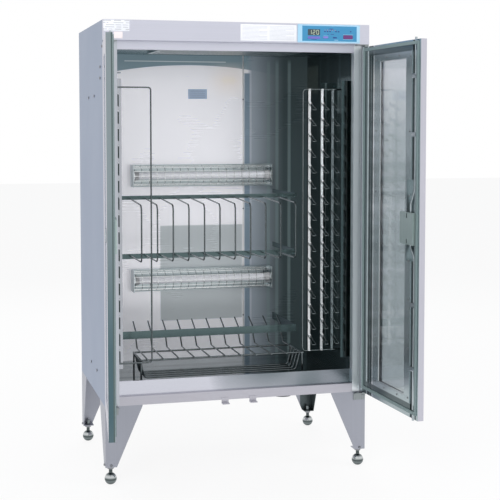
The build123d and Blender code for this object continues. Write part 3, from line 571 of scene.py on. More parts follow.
def copies(source: Piece, places: Iterable[Matrix], name: str) -> Piece:
    """Copies a piece to each place, each copy with its own mesh, and joins the copies into one piece.

    Args:
        source: the modelled piece, which is removed afterwards.
        places: where the copies go.
        name: the name of the joined piece.

    Returns:
        The joined piece.
    """
    made = []
    for place in places:
        copy = source.copy()
        copy.data = source.data.copy()
        copy.data.transform(place)
        if place.determinant() < 0:
            copy.data.flip_normals()
        bpy.context.scene.collection.objects.link(copy)
        made.append(copy)
    joined = join(made, name)
    bpy.data.objects.remove(source)
    return joined


def aim(point: Sequence[float], direction: Sequence[float]) -> Matrix:
    """Returns the matrix that stands a piece, modelled along Z, on a point with its top in a direction."""
    return Matrix.Translation(point) @ Vector(direction).to_track_quat("Z", "Y").to_matrix().to_4x4()


def smooth(piece: Piece, degrees: float = 35.0) -> None:
    """Shades a piece smooth except over edges sharper than an angle."""
    begin()
    piece.select_set(True)
    bpy.context.view_layer.objects.active = piece
    bpy.ops.object.shade_smooth_by_angle(angle=math.radians(degrees))


def fit_out(piece: Piece, finish: Finish, body: str = "cabinet") -> Piece:
    """Gives a new piece its finish, body and material slot, and reports it.

    Args:
        piece: the finished mesh object.
        finish: its surface.
        body: the body it rides on.

    Returns:
        The same piece.
    """
    smooth(piece)
    piece.data.materials.clear()
    piece.data.materials.append(finish.build())
    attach(piece, body)
    LOG.info("piece %s: %s on %s, %d faces", piece.name, finish.name, body, len(piece.data.polygons))
    return piece


def screw_blank(name: str, radius: float, rise: float) -> Piece:
    """Models a pan head with a drive recess, standing on the origin along Z.

    Args:
        name: the piece's name.
        radius: of the head, in metres.
        rise: its height.

    Returns:
        The screw head.
    """
    piece = turned(name, radius, rise * 0.55, 14)
    pick(piece, facing((0, 0, 1)))
    rim(radius * 0.30)
    bpy.ops.transform.translate(value=(0, 0, rise * 0.45))
    rim(radius * 0.34)
    pull(0, 0, -rise * 0.5)
    leave()
    return piece


# ---------------------------------------------------------------- colours

WHITE_METAL: Colour = (0.93, 0.93, 0.98)
OUTER_METAL: Colour = (0.64, 0.65, 0.74)
SIDE_METAL: Colour = (0.265, 0.325, 0.445)
# Teal tones painted on polished inner sheets as reflections of dark surroundings.
DARK_TEAL_REFLECTION: Colour = (0.030, 0.055, 0.060)
MID_TEAL_REFLECTION: Colour = (0.11, 0.16, 0.18)
WIRE_METAL: Colour = (0.17, 0.195, 0.205)
# The next two colours are painted reflections on the left door's free edge.
GREEN_GREY_REFLECTION: Colour = (0.25, 0.30, 0.32)
DEEP_GREEN_REFLECTION: Colour = (0.085, 0.145, 0.17)
BLUE: Colour = (0.035, 0.24, 0.45)
PALE_BLUE: Colour = (0.36, 0.60, 0.77)

PAPER = matte("label_paper", (0.80, 0.81, 0.85), 0.5, contrast=0.04)
RULED_PAPER = matte("label_paper_ruled", (0.78, 0.80, 0.85), 0.5, contrast=0.04, ruling=0.0068)
PINK_PAPER = matte("label_paper_pink", (0.86, 0.78, 0.79), 0.5, contrast=0.04)
# The tag's faint emission is painted light; the tag is no lamp.
TAG = Finish("wall_tag", (0.50, 0.62, 0.80), metallic=0.0, roughness=0.4, grain=Grain.ALONG_X, contrast=0.06,
             glow=0.12)
INK = matte("printed_ink", (0.02, 0.04, 0.20), 0.4)
PALE_INK = matte("pale_ink", PALE_BLUE, 0.4)
GREY_INK = matte("grey_ink", (0.50, 0.53, 0.58), 0.5)
TAG_INK = matte("tag_ink", (0.24, 0.30, 0.42))
DISPLAY_GLASS = matte("display_window", (0.035, 0.055, 0.07), 0.12, coat=0.4)
DIGIT = matte("display_digit", (0.42, 0.50, 0.36), glow=0.25)
LAMP_DOT = matte("indicator", (0.55, 0.16, 0.10), 0.2, glow=0.3)
BACK_SHEET = Finish("back_sheet", (0.50, 0.52, 0.57), metallic=0.85, roughness=0.40)
BRIGHT_STEEL = Finish("polished_steel", (0.50, 0.55, 0.58), roughness=0.14, grain=Grain.ROUND, contrast=0.25)
SCREW_STEEL = Finish("screw_steel", (0.30, 0.31, 0.33), roughness=0.28, grain=Grain.ROUND, contrast=0.25)
CERAMIC = matte("lamp_socket", (0.74, 0.74, 0.76), 0.35)
BLACK_PLASTIC = matte("black_plastic", (0.022, 0.024, 0.028), 0.45)


# ---------------------------------------------------------------- the studio


@dataclass
class Studio:
    """A pale floor, soft lamps and the camera at the photograph's viewing angle.

    The camera's place is in millimetres and the floor's size in metres.
    """

    yaw: float = 0.2654
    pitch: float = 0.0638
    camera_place: Triple = (-1000.6, -3907.1, 1182.8)
    focal_pixels: float = 1192.8
    level_row: float = 200.0
    fill: float = 0.62
    floor_size: float = 40.0
    floor_white: float = 0.88

    def camera(self) -> None:
        """Places the camera. Its small shift keeps the uprights as they stand in the photograph."""
        bpy.ops.object.camera_add(location=Vector(self.camera_place) * MM)
        camera = bpy.context.object
        camera.name = "camera"
        camera.rotation_euler = (math.pi / 2 - self.pitch, 0, -self.yaw)
        camera.data.sensor_width = SENSOR_WIDTH
        camera.data.lens = self.focal_pixels / PHOTO_SIDE * SENSOR_WIDTH
        camera.data.shift_y = (self.level_row - PHOTO_SIDE / 2) / PHOTO_SIDE
        bpy.context.scene.camera = camera

    def white_rays(self, graph: Graph) -> Socket:
        """Returns 1 for rays that see the background itself, and 0 for those that light the object."""
        rays = graph.add("ShaderNodeLightPath")
        seen = graph.math("MAXIMUM", rays.outputs["Is Camera Ray"], rays.outputs["Is Glossy Ray"])
        return graph.math("MAXIMUM", seen, rays.outputs["Is Transmission Ray"])

    def world(self) -> None:
        """Lights the object from all round, and shows white behind it and in its reflections."""
        world = bpy.data.worlds.new("studio")
        bpy.context.scene.world = world
        graph = blank_graph(world)
        soft = graph.add("ShaderNodeBackground", {"Color": (0.97, 0.98, 1.0, 1.0), "Strength": self.fill})
        white = graph.add("ShaderNodeBackground", {"Color": (1.0, 1.0, 1.0, 1.0), "Strength": 1.0})
        feeds = {0: self.white_rays(graph), 1: soft.outputs[0], 2: white.outputs[0]}
        shader = graph.add("ShaderNodeMixShader", feeds)
        graph.add("ShaderNodeOutputWorld", {0: shader.outputs[0]})

    def floor(self) -> None:
        """Lays a wide white floor that keeps the object's shadow."""
        begin()
        bpy.ops.mesh.primitive_plane_add(size=self.floor_size, location=(0, 0, -0.0005))
        floor = bpy.context.object
        floor.name = "studio_floor"
        material = bpy.data.materials.new("studio_floor")
        graph = blank_graph(material)
        ground = graph.add("ShaderNodeBsdfPrincipled", {
            "Base Color": (0.92, 0.92, 0.93, 1.0), "Roughness": 0.9, "Specular IOR Level": 0.0,
        })
        white = graph.add("ShaderNodeEmission", {0: (1.0, 1.0, 1.0, 1.0), 1: 1.0})
        seen = graph.math("MULTIPLY", self.white_rays(graph), self.floor_white)
        shader = graph.add("ShaderNodeMixShader", {0: seen, 1: ground.outputs[0], 2: white.outputs[0]})
        graph.add("ShaderNodeOutputMaterial", {0: shader.outputs[0]})
        floor.data.materials.append(material)

    def lamp(self, name: str, place: Sequence[float], power: float, size: float) -> None:
        """Hangs one soft lamp that looks at the middle of the cabinet.

        Args:
            name: the lamp's name.
            place: where it hangs, in metres.
            power: in watts.
            size: the side of its square.
        """
        bpy.ops.object.light_add(type="AREA", location=place)
        lamp = bpy.context.object
        lamp.name = name
        lamp.data.energy = power
        lamp.data.size = size
        aim_at = Vector((0, 0, 0.85)) - Vector(place)
        lamp.rotation_euler = aim_at.to_track_quat("-Z", "Y").to_euler()
        lamp.visible_glossy = False

    def build(self) -> None:
        """Sets the whole scene, with colours shown as they are written."""
        bpy.context.scene.view_settings.view_transform = "Standard"
        self.world()
        self.floor()
        self.lamp("front_lamp", (-0.9, -4.0, 1.3), 30.0, 1.6)
        self.lamp("key_lamp", (-2.2, -3.6, 3.4), 95.0, 2.2)
        self.lamp("side_lamp", (3.6, -2.4, 2.6), 45.0, 2.4)
        self.lamp("back_lamp", (0.6, 3.4, 3.0), 40.0, 2.4)
        self.camera()
        LOG.info("studio: camera at %s mm", self.camera_place)


# ---------------------------------------------------------------- the cabinet


@dataclass
class Carcass:
    """The outer sheets, with bolts at the feet of the legs and hooded louvres at the back. Millimetres."""

    bolt_radius: float = 4.2
    bolt_rise: float = 4.0
    bolt_height: float = 66.5
    bolt_inset: float = 19.0
    world_reach: float = 1000.0
    hood_height: float = 7.0
    hood_reach: float = 5.0
    hood_half_width: float = 94.0
    hood_edge: float = 2.2
    hood_lip: float = 0.8
    hood_hollow: float = 3.0
    hood_columns: tuple[float, ...] = (-250.0, 250.0)
    hood_lowest: float = 1452.0
    hood_pitch: float = 9.0
    hood_rows: int = 6
    rivet_radius: float = 3.0
    rivet_rise: float = 1.2
    rivet_pitch: float = 150.0
    rivet_margin: float = 12.0
    rivet_columns: int = 5

    def dress(self) -> None:
        """Finishes the outer nodes: bluish sides, a paler front, and legs brushed along their length, with
        painted shade on the left post and painted reflections on one leg and the balls of the feet.
        """
        dress(Finish("side_sheet", SIDE_METAL, metallic=0.85, roughness=0.36, contrast=0.05),
              "side_panel_left", "side_panel_right")
        dress(Finish("front_sheet", OUTER_METAL, metallic=0.85, roughness=0.34, grain=Grain.ALONG_X,
                     contrast=0.05), "head_fascia", "lintel")
        dress(Finish("top_sheet", OUTER_METAL, metallic=0.85, roughness=0.38, grain=Grain.ALONG_X),
              "top_cover")
        dress(BACK_SHEET, "back_panel")
        # Painted shade darkens the left post.
        left_post_shade = Patch((-0.6, -1.0, 0.2), (0.0, 1.0, 1.6), (0.52, 0.55, 0.60), 0.01)
        dress(Finish("post_sheet", (0.82, 0.86, 0.90), metallic=0.9, roughness=0.26, patches=(left_post_shade,)),
              "front_posts")
        dress(Finish("rail_sheet", (0.51, 0.505, 0.56), metallic=0.85, roughness=0.28, grain=Grain.ALONG_X,
                     contrast=0.07), "bottom_panel", "rod_keeps")
        # A painted dark reflection low on the rear right leg.
        rear_leg_dark_reflection = Patch((0.405, 0.42, 0.0), (0.6, 0.60, 0.30), (0.075, 0.10, 0.10), (0.003, 0.01, 0.01), 0.9)
        dress(Finish("leg_sheet", (0.37, 0.385, 0.44), metallic=0.85, roughness=0.33, contrast=0.06,
                     patches=(rear_leg_dark_reflection,)), "legs")
        dress(SCREW_STEEL, "side_screws", "foot_nuts")
        dress(BLACK_PLASTIC, "cable_gland")
        dress(Finish("bracket_steel", (0.30, 0.33, 0.34), roughness=0.25, contrast=0.2), "hinge_brackets")
        dress(Finish("drain_metal", (0.10, 0.11, 0.12), roughness=0.35, grain=Grain.ROUND), "drain_fitting")
        # The balls' level bands are painted reflections.
        dress(Finish("ball_steel", (0.20, 0.23, 0.235), roughness=0.10, grain=Grain.ROUND, contrast=0.15,
                     patches=self.ball_reflection_bands()),
              "foot_front_left", "foot_front_right", "foot_rear_left", "foot_rear_right")

    def ball_reflection_bands(self) -> tuple[Patch, ...]:
        """Returns the painted reflections on a polished ball, as level bands: dark at its foot and a little
        higher, bright above that, dark at its neck.
        """
        bands = (
            (0.0, 9.0, (0.08, 0.10, 0.10)),
            (16.0, 21.0, (0.05, 0.065, 0.065)),
            (24.0, 32.0, (0.62, 0.64, 0.65)),
            (36.0, 62.0, (0.06, 0.075, 0.075)),
        )
        reach = self.world_reach * MM
        return tuple(Patch((-reach, -reach, low * MM), (reach, reach, high * MM), colour, 0.005, 0.85)
                     for low, high, colour in bands)

    def leg_bolts(self) -> None:
        """Two dark bolt heads near the bottom of each leg, one on each of its faces."""
        low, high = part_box("legs")
        inset = self.bolt_inset * MM
        height = self.bolt_height * MM
        places = []
        for x, outwards in ((low.x, -1), (high.x, 1)):
            for y, backwards in ((low.y, -1), (high.y, 1)):
                places.append(aim((x, y - backwards * inset, height), (outwards, 0, 0)))
                places.append(aim((x - outwards * inset, y, height), (0, backwards, 0)))
        blank = screw_blank("leg_bolt", self.bolt_radius * MM, self.bolt_rise * MM)
        fit_out(copies(blank, places, "leg_bolts"), SCREW_STEEL)

    def louvre_hoods(self) -> None:
        """A pressed hood over each louvre of the back panel."""
        _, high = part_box("back_panel")
        half = self.hood_half_width * MM
        source = plate("louvre_hood", (-half, 0, 0), (half, self.hood_reach * MM, self.hood_height * MM),
                       self.hood_edge * MM)
        pick(source, lambda face: face.normal.z < -0.9)
        rim(self.hood_lip * MM)
        pull(0, 0, self.hood_hollow * MM)
        leave()
        rows = [Matrix.Translation((x * MM, high.y, (self.hood_lowest + self.hood_pitch * row) * MM))
                for x in self.hood_columns for row in range(self.hood_rows)]
        hoods = copies(source, rows, "louvre_hoods")
        fit_out(hoods, BACK_SHEET)

    def back_rivets(self) -> None:
        """Rivets round the edge of the back panel."""
        low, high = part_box("back_panel")
        margin = self.rivet_margin * MM
        count = int((high.z - low.z - 2 * margin) / (self.rivet_pitch * MM)) + 1
        step = (high.z - low.z - 2 * margin) / (count - 1)
        places = [aim((x, high.y, low.z + margin + n * step), (0, 1, 0))
                  for x in (low.x + margin, high.x - margin) for n in range(count)]
        across = (high.x - low.x - 2 * margin) / (self.rivet_columns + 1)
        places += [aim((low.x + margin + across * (n + 1), high.y, z), (0, 1, 0))
                   for n in range(self.rivet_columns) for z in (low.z + margin, high.z - margin * 0.5)]
        blank = turned("rivet", self.rivet_radius * MM, self.rivet_rise * MM * 0.5, 12)
        pick(blank, facing((0, 0, 1)))
        rim(self.rivet_radius * MM * 0.4)
        bpy.ops.transform.translate(value=(0, 0, self.rivet_rise * MM * 0.5))
        leave()
        fit_out(copies(blank, places, "back_rivets"), SCREW_STEEL)

    def build(self) -> None:
        """Finishes the carcass and adds its small pieces."""
        self.dress()
        self.leg_bolts()
        self.louvre_hoods()
        self.back_rivets()


@dataclass
class Head:
    """The head over the doors: bare labels, the control panel's display, digits, lamps and printed marks.

    Sizes in millimetres: X from the cabinet's middle and heights from the floor.
    """

    label_thickness: float = 0.3
    corner_label: Area = (-449.0, -366.0, 1478.0, 1513.0)
    corner_wrap: float = 12.0
    small_label: Area = (-415.6, -388.0, 1455.0, 1476.0)
    notice: Area = (1.0, 193.0, 1455.0, 1509.0)
    notice_margin: float = 6.0
    notice_gutter: float = 3.0
    notice_edge: float = 4.0
    notice_rows: int = 11
    panel: Area = (212.5, 404.5, 1457.5, 1508.2)
    display: Area = (232.0, 274.8, 1477.0, 1497.0)
    digits: str = "120"
    digit_height: float = 13.5
    digit_width: float = 7.2
    digit_stroke: float = 1.6
    digit_pitch: float = 12.8
    digit_gap: float = 0.6
    digit_rise: float = 0.34
    indicators: tuple[float, ...] = (292.0, 301.0, 310.0, 319.0, 328.0)
    indicator_row: float = 1495.0
    indicator_radius: float = 1.1
    print_rise: float = 0.12
    dark_print: tuple[Area, ...] = (
        (314.0, 1498.5, 15.0, 2.6), (303.0, 1481.0, 5.0, 1.6), (318.0, 1481.0, 12.0, 1.6),
        (327.0, 1470.0, 14.0, 4.2), (383.0, 1491.0, 5.0, 3.6), (253.5, 1463.0, 20.0, 1.4),
        *((x, 1490.2, 6.0, 3.6) for x in (292.0, 301.0, 310.0, 331.0, 340.0)),
    )
    pale_print: tuple[Area, ...] = (
        (332.0, 1462.0, 14.0, 1.6), (294.5, 1475.8, 17.0, 0.7), (373.5, 1480.6, 36.0, 0.9),
        (373.5, 1464.4, 36.0, 0.9),
    )

    def front(self) -> float:
        """Returns where the face of the fascia is, in metres."""
        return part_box("head_fascia")[0].y

    def face(self) -> float:
        """Returns where the face of the control panel is, in metres."""
        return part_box("control_panel")[0].y

    def label(self, name: str, area: Sequence[float], finish: Finish) -> Piece:
        """Sticks a bare label on the fascia.

        Args:
            name: the piece's name.
            area: left, right, bottom and top in millimetres.
            finish: its paper.

        Returns:
            The label.
        """
        left, right, bottom, top = metres(area)
        front = self.front()
        piece = plate(name, (left, front - self.label_thickness * MM, bottom), (right, front + 0.0001, top),
                      0.0001)
        return fit_out(piece, finish)

    def labels(self) -> None:
        """The bare labels at the corner and beside the control panel, ruled like a blank form."""
        left, right, bottom, top = metres(self.notice)
        middle = (left + right) / 2
        margin, gutter, edge = metres((self.notice_margin, self.notice_gutter, self.notice_edge))
        ruled = ((left + margin, middle - gutter), (middle + gutter, right - margin))
        self.label("notice_label", self.notice, PAPER)
        front = self.front() - self.label_thickness * MM
        pitch = (top - bottom - 2 * edge) / self.notice_rows
        marks = []
        for start, end in ruled:
            for row in range(self.notice_rows):
                z = bottom + edge + (row + 0.5) * pitch
                short = 0.35 * (end - start) if row % 4 == 3 else 0.02 * (end - start)
                marks.append(block(((start + end - short) / 2, front, z),
                                   (end - start - short, 0.0001, pitch * 0.22)))
        line = plate("rule", (-0.5, -0.5, -0.5), (0.5, 0.5, 0.5), 0.02)
        fit_out(copies(line, marks, "notice_rules"), GREY_INK)
        corner = self.label("corner_label", self.corner_label, RULED_PAPER)
        self.wrap(corner)
        self.label("small_label", self.small_label, PINK_PAPER)

    def wrap(self, corner: Piece) -> None:
        """Carries the corner label on round the left side of the head, by extruding its end."""
        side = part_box("head_fascia")[0].x
        pick(corner, facing((-1, 0, 0)))
        out = side - self.label_thickness * MM - min(v.co.x for v in corner.data.vertices)
        pull(out, 0, 0)
        leave()
        edge = side - 0.00005
        pick(corner, lambda face: face.normal.y > 0.9 and face.center.x < edge)
        pull(0, self.corner_wrap * MM, 0)
        leave()

    def bars(self, name: str, marks: Sequence[Matrix], finish: Finish) -> None:
        """Raises bars on the control panel, all copies of one small chamfered bar."""
        bar = plate(name, (-0.5, -0.5, -0.5), (0.5, 0.5, 0.5), 0.12)
        fit_out(copies(bar, marks, name), finish)

    def display_window(self) -> None:
        """The dark window of the display and its three plain digits, each of up to seven bars."""
        left, right, bottom, top = metres(self.display)
        face = self.face()
        piece = plate("display_window", (left, face - 0.0006, bottom), (right, face + 0.0002, top), 0.0004)
        sink(piece, (0, -1, 0), 0.0008, 0.0003)
        fit_out(piece, DISPLAY_GLASS)
        segments = {"a": (0, 1, 0), "b": (1, 0.5, 1), "c": (1, -0.5, 1), "d": (0, -1, 0), "e": (-1, -0.5, 1),
                    "f": (-1, 0.5, 1), "g": (0, 0, 0)}
        lit = {"0": "abcdef", "1": "bc", "2": "abged"}
        half_width, half_height = self.digit_width / 2, self.digit_height / 2
        middle = ((self.display[0] + self.display[1]) / 2, (self.display[2] + self.display[3]) / 2)
        marks = []
        for place, digit in enumerate(self.digits):
            x = middle[0] + (place - 1) * self.digit_pitch
            for segment in lit[digit]:
                across, up, standing = segments[segment]
                length = (half_height if standing else self.digit_width) - self.digit_gap
                width, height = (self.digit_stroke, length) if standing else (length, self.digit_stroke)
                size = (width, self.print_rise, height)
                spot = (x + across * half_width, face / MM - self.digit_rise, middle[1] + up * half_height)
                marks.append(block(Vector(spot) * MM, Vector(size) * MM))
        self.bars("display_digits", marks, DIGIT)

    def printing(self) -> None:
        """Indicator lamps, and plain bars and a frame where the panel is printed."""
        face = self.face() / MM
        for name, finish, plan in (("panel_print", INK, self.dark_print),
                                   ("panel_print_pale", PALE_INK, self.pale_print)):
            marks = [block(Vector((x, face, z)) * MM, metres((width, self.print_rise, height)))
                     for x, z, width, height in plan]
            self.bars(name, marks, finish)
        lamp = turned("indicator", self.indicator_radius * MM, 0.5 * MM, 12)
        sink(lamp, (0, 0, 1), 0.0004, -0.0003)
        spots = [aim(Vector((x, face, self.indicator_row)) * MM, (0, -1, 0)) for x in self.indicators]
        fit_out(copies(lamp, spots, "indicator_lamps"), LAMP_DOT)

    def build(self) -> None:
        """Finishes the control panel and its keys, and adds labels, display and printing."""
        left, right, bottom, top = metres(self.panel)
        blue = Patch((left, -2.0, bottom), (right, 2.0, top), BLUE, 0.0012)
        dress(matte("panel_film", PALE_BLUE, 0.28, contrast=0.03, patches=(blue,), coat=0.3), "control_panel")
        for name, colour, key in (("key_violet", (0.16, 0.14, 0.52), "button_power"),
                                  ("key_lilac", (0.22, 0.20, 0.62), "button_select"),
                                  ("key_plum", (0.13, 0.03, 0.16), "button_start")):
            dress(matte(name, colour, coat=0.3), key)
        dress(matte("circuit_board", (0.03, 0.16, 0.07), 0.5), "control_board")
        self.labels()
        self.display_window()
        self.printing()


@dataclass
class Chamber:
    """The liners, the ceiling, the floor and the racks. Millimetres, as measured in the photograph."""

    arch_apex: float = -30.0
    arch_top: float = 1402.0
    arch_radius: float = 1636.0
    bar_back: float = 222.0
    pilaster_width: float = 42.8
    slot_inset: float = 12.5
    slot_height: float = 45.0
    slot_pitch: float = 56.5
    slot_slant: float = 6.0
    bars: tuple[tuple[float, float], ...] = ((919.0, 933.0), (712.0, 730.0), (430.0, 457.0))
    bar_ahead: float = 30.0
    lip_depth: float = 12.0
    paint_reach: float = 100.0
    knife_columns: tuple[float, ...] = (276.0, 321.5, 360.0)
    knife_column_half: float = 4.2
    tongue_half: float = 4.2
    tongue_depth: float = 3.0
    tongue_setback: float = 2.0
    tongue_edge: float = 0.4
    seam_screws: tuple[float, ...] = (1275.0, 860.0, 450.0)
    seam: tuple[float, float] = (165.0, 170.0)
    tag: Area = (-46.0, 27.0, 1276.0, 1313.0)
    tag_rim: float = 2.2
    tag_margin: float = 8.0
    tag_rows: tuple[float, ...] = (7.0, 14.5, 22.0, 29.5)

    def back_wall(self) -> Finish:
        """Returns the bright back wall, with painted reflections over it: the dark arch, the dark right side,
        bright and dark lines, dark upright bands and a warm painted highlight; its faint emission is painted
        light.
        """
        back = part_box("liner_back")[0].y
        apex, crown, radius = metres((self.arch_apex, self.arch_top, self.arch_radius))
        # Painted reflection: a dark arch across the top of the wall.
        arch = Arch((apex, back, crown - radius), radius, (0.22, 0.31, 0.36), 0.003)
        depth = (back - self.paint_reach * MM, back + self.paint_reach * MM)
        # Painted reflections and shade: a bright line at the top, dark upright bands on the right, a dark line
        # at the top left, a warm painted highlight, a grey mirrored area in the middle, a blue-grey strip
        # beside the seam, and painted shade darkening the right side.
        gleam = upright((-0.286, 0.10, 1.4135, 1.4165), depth, (0.62, 0.68, 0.70), 0.002)
        pale = tuple(
            upright((left, left + 0.012, 0.2, 1.42), depth, (0.20, 0.27, 0.28), (0.004, 0.1, 0.02), 0.7)
            for left in (0.262, 0.296, 0.345))
        edge = upright((-0.45, -0.30, 1.369, 1.3725), depth, MID_TEAL_REFLECTION, 0.002)
        glow = upright((0.06, 0.165, 1.31, 1.384), depth, (0.95, 0.84, 0.74), 0.07, 0.7)
        mirror = upright((-0.155, 0.164, 0.44, 0.80), depth, (0.42, 0.47, 0.49), 0.005, 0.85)
        strip = upright((0.172, 0.195, 0.2, 1.375), depth, (0.20, 0.27, 0.34), 0.006)
        shade = upright((0.193, 0.50, 0.2, 1.6), depth, (0.27, 0.32, 0.37), 0.02, 0.95)
        dark = upright((0.27, 0.60, 0.2, 1.6), depth, (0.05, 0.075, 0.08), 0.12, 0.95)
        # The faint emission is painted light over the whole wall.
        return Finish("back_liner", WHITE_METAL, metallic=0.35, roughness=0.24, grain=Grain.ALONG_X,
                      contrast=0.012, relief=0.001, brush=0.02, arches=(arch,), glow=0.16,
                      patches=(gleam, edge, glow, mirror, shade, dark, strip, *pale))

    def racks(self) -> None:
        """Finishes the wires, with a painted dark reflection on their flat bars, and the knife rack's uprights
        with painted highlights and painted shade.
        """
        depth = (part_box("pilasters")[1].y - self.bar_ahead * MM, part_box("liner_back")[0].y)
        # Painted dark reflection on the racks' flat bars.
        bars = tuple(upright((-0.45, 0.30, bottom * MM, top * MM), depth, (0.10, 0.145, 0.15), 0.001)
                     for bottom, top in self.bars)
        wire = Finish("rack_wire", WIRE_METAL, roughness=0.14, grain=Grain.ROUND, contrast=0.45, patches=bars)
        dress(wire, "board_rack_upper", "board_rack_lower", "side_loop")
        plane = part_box("knife_rack")[1].y
        # Painted highlights on two uprights of the knife rack and painted shade on the third.
        lit_and_shaded_tones = ((0.95, 0.95, 0.96), (0.92, 0.92, 0.93), (0.30, 0.34, 0.35))
        half = self.knife_column_half
        depth = (plane - 0.012, plane + 0.01)
        uprights = tuple(upright(((x - half) * MM, (x + half) * MM, 0.3, 1.32), depth, colour, 0.001)
                         for x, colour in zip(self.knife_columns, lit_and_shaded_tones))
        dress(Finish("knife_wire", (0.20, 0.23, 0.235), roughness=0.14, grain=Grain.ROUND, contrast=0.4,
                     patches=uprights), "knife_rack")

    def dress(self) -> None:
        """Finishes the walls, the ceiling, the floor, the pilasters, the racks and the wool."""
        dress(self.back_wall(), "liner_back")
        self.racks()
        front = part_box("liner_right")[0].y
        # The right liner's dark teal, its paler streaking and the two paler areas at its top are painted
        # reflections.
        lit = Patch((0.3, front + 0.42, 1.30), (0.5, front + 0.75, 1.40), (0.20, 0.22, 0.19), 0.012)
        dim = Patch((0.3, front + 0.02, 1.22), (0.5, front + 0.20, 1.345), (0.24, 0.29, 0.30), 0.010)
        dress(Finish("right_liner", DARK_TEAL_REFLECTION, metallic=0.85, roughness=0.20, contrast=0.3,
                     patches=(lit, dim), reflection_streaks=(0.09, 0.13, 0.14), streak_frequency=(1.0, 38.0, 1.4),
                     streak_share=0.42), "liner_right")
        dress(Finish("left_liner", (0.55, 0.58, 0.60), metallic=0.85, roughness=0.24), "liner_left")
        # The ceiling's dark teal and its paler streaking are painted reflections.
        dress(Finish("ceiling_sheet", (0.16, 0.25, 0.27), metallic=0.85, roughness=0.22, grain=Grain.ALONG_X,
                     contrast=0.2, reflection_streaks=(0.26, 0.32, 0.33), streak_frequency=(2.0, 30.0, 1.0),
                     streak_share=0.42), "ceiling_panel")
        dress(Finish("grille_sheet", (0.50, 0.57, 0.58), grain=Grain.ALONG_X, contrast=0.2), "ceiling_grille")
        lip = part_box("floor_pan")[0].y
        depth = (lip - self.paint_reach * MM, lip + self.lip_depth * MM)
        # Painted reflections: a bright band on the floor's front lip, paler to the right; the floor's dark
        # teal and darker streaking are painted reflections too.
        bright = upright((-0.5, 0.25, 0.2, 0.6), depth, (0.62, 0.63, 0.70), (0.10, 0.004, 0.1))
        pale = upright((0.25, 0.5, 0.2, 0.6), depth, (0.45, 0.46, 0.52), (0.10, 0.004, 0.1))
        dress(Finish("floor_sheet", (0.19, 0.235, 0.245), metallic=0.9, roughness=0.14, grain=Grain.ALONG_X,
                     patches=(bright, pale), reflection_streaks=(0.06, 0.10, 0.11), streak_frequency=(2.0, 34.0, 1.0)),
              "floor_pan")
        # Painted shade darkens the right pilaster, and a thin painted highlight runs down it.
        shadowed = Patch((0.3, -1.0, 0.3), (0.5, 1.0, 1.4), (0.085, 0.125, 0.13), 0.002)
        lined = Patch((0.396, -1.0, 0.3), (0.402, 1.0, 1.4), (0.34, 0.41, 0.42), 0.002)
        dress(Finish("slotted_sheet", (0.44, 0.46, 0.50), roughness=0.22, patches=(shadowed, lined)),
              "pilasters")
        dress(matte("mineral_wool", (0.55, 0.46, 0.22), 0.95, contrast=0.3, relief=0.6), "insulation")

    def slot_shade_tongues(self) -> None:
        """A dark pressed tongue in each slot of the pilasters, wider than it and a little proud of it; its
        almost black colour is painted shade inside the slot.
        """
        low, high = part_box("pilasters")
        count = int((high.z - low.z - self.slot_height * MM) / (self.slot_pitch * MM))
        half = self.tongue_half * MM
        straight = (self.slot_height - self.slot_slant) * MM
        tongue = plate("slot_shade_tongue", (-half, -self.tongue_depth * MM, 0.0), (half, 0.0, straight),
                       self.tongue_edge * MM)
        for point in tongue.data.vertices:
            point.co.z += (half - point.co.x) / (2 * half) * self.slot_slant * MM
        inset = low.x + (self.pilaster_width - self.slot_inset) * MM
        rows = [low.y + (row + self.tongue_setback) * MM for row in (0.0, self.bar_back)]
        heights = [low.z + self.slot_pitch * (n + 1 / 3) * MM for n in range(count)]
        places = [Matrix.Translation((x, y, z)) for x in (inset, -inset) for y in rows for z in heights]
        # Almost black: painted shade in the slots.
        steel = Finish("slot_shade_steel", (0.035, 0.05, 0.052), roughness=0.4)
        fit_out(copies(tongue, places, "slot_shade_tongues"), steel)

    def seam_strip(self) -> None:
        """The strip over the joint of the back wall's two sheets, with its screws."""
        low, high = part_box("liner_back")
        left, right = metres(self.seam)
        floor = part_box("floor_pan")[0].z
        piece = plate("back_seam", (left, low.y - 0.0012, floor + 0.0012), (right, low.y + 0.0002, high.z),
                      0.0005)
        fit_out(piece, Finish("seam_strip", (0.97, 0.97, 0.98), metallic=0.2))
        x = (left + right) / 2
        places = [aim((x, low.y - 0.001, z * MM), (0, -1, 0)) for z in self.seam_screws]
        blank = screw_blank("seam_screw", 0.003, 0.0018)
        fit_out(copies(blank, places, "seam_screws"), SCREW_STEEL)

    def wall_tag(self) -> None:
        """The bare rating tag on the back wall, with a raised rim and blank ruled rows."""
        left, right, bottom, top = metres(self.tag)
        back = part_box("liner_back")[0].y
        piece = plate("wall_tag", (left, back - 0.0008, bottom), (right, back + 0.0001, top), 0.0003)
        sink(piece, (0, -1, 0), self.tag_rim * MM, 0.0003)
        fit_out(piece, TAG)
        width = right - left - 2 * self.tag_margin * MM
        rows = [block(((left + right) / 2, back - 0.0005, bottom + row * MM), (width, 0.0002, 0.0011))
                for row in self.tag_rows]
        line = plate("tag_rules", (-0.5, -0.5, -0.5), (0.5, 0.5, 0.5), 0.02)
        fit_out(copies(line, rows, "tag_rules"), TAG_INK)

    def build(self) -> None:
        """Finishes the chamber and adds the dark slot tongues that stand in for shade in the slots, the seam
        and the tag.
        """
        self.dress()
        self.slot_shade_tongues()
        self.seam_strip()
        self.wall_tag()


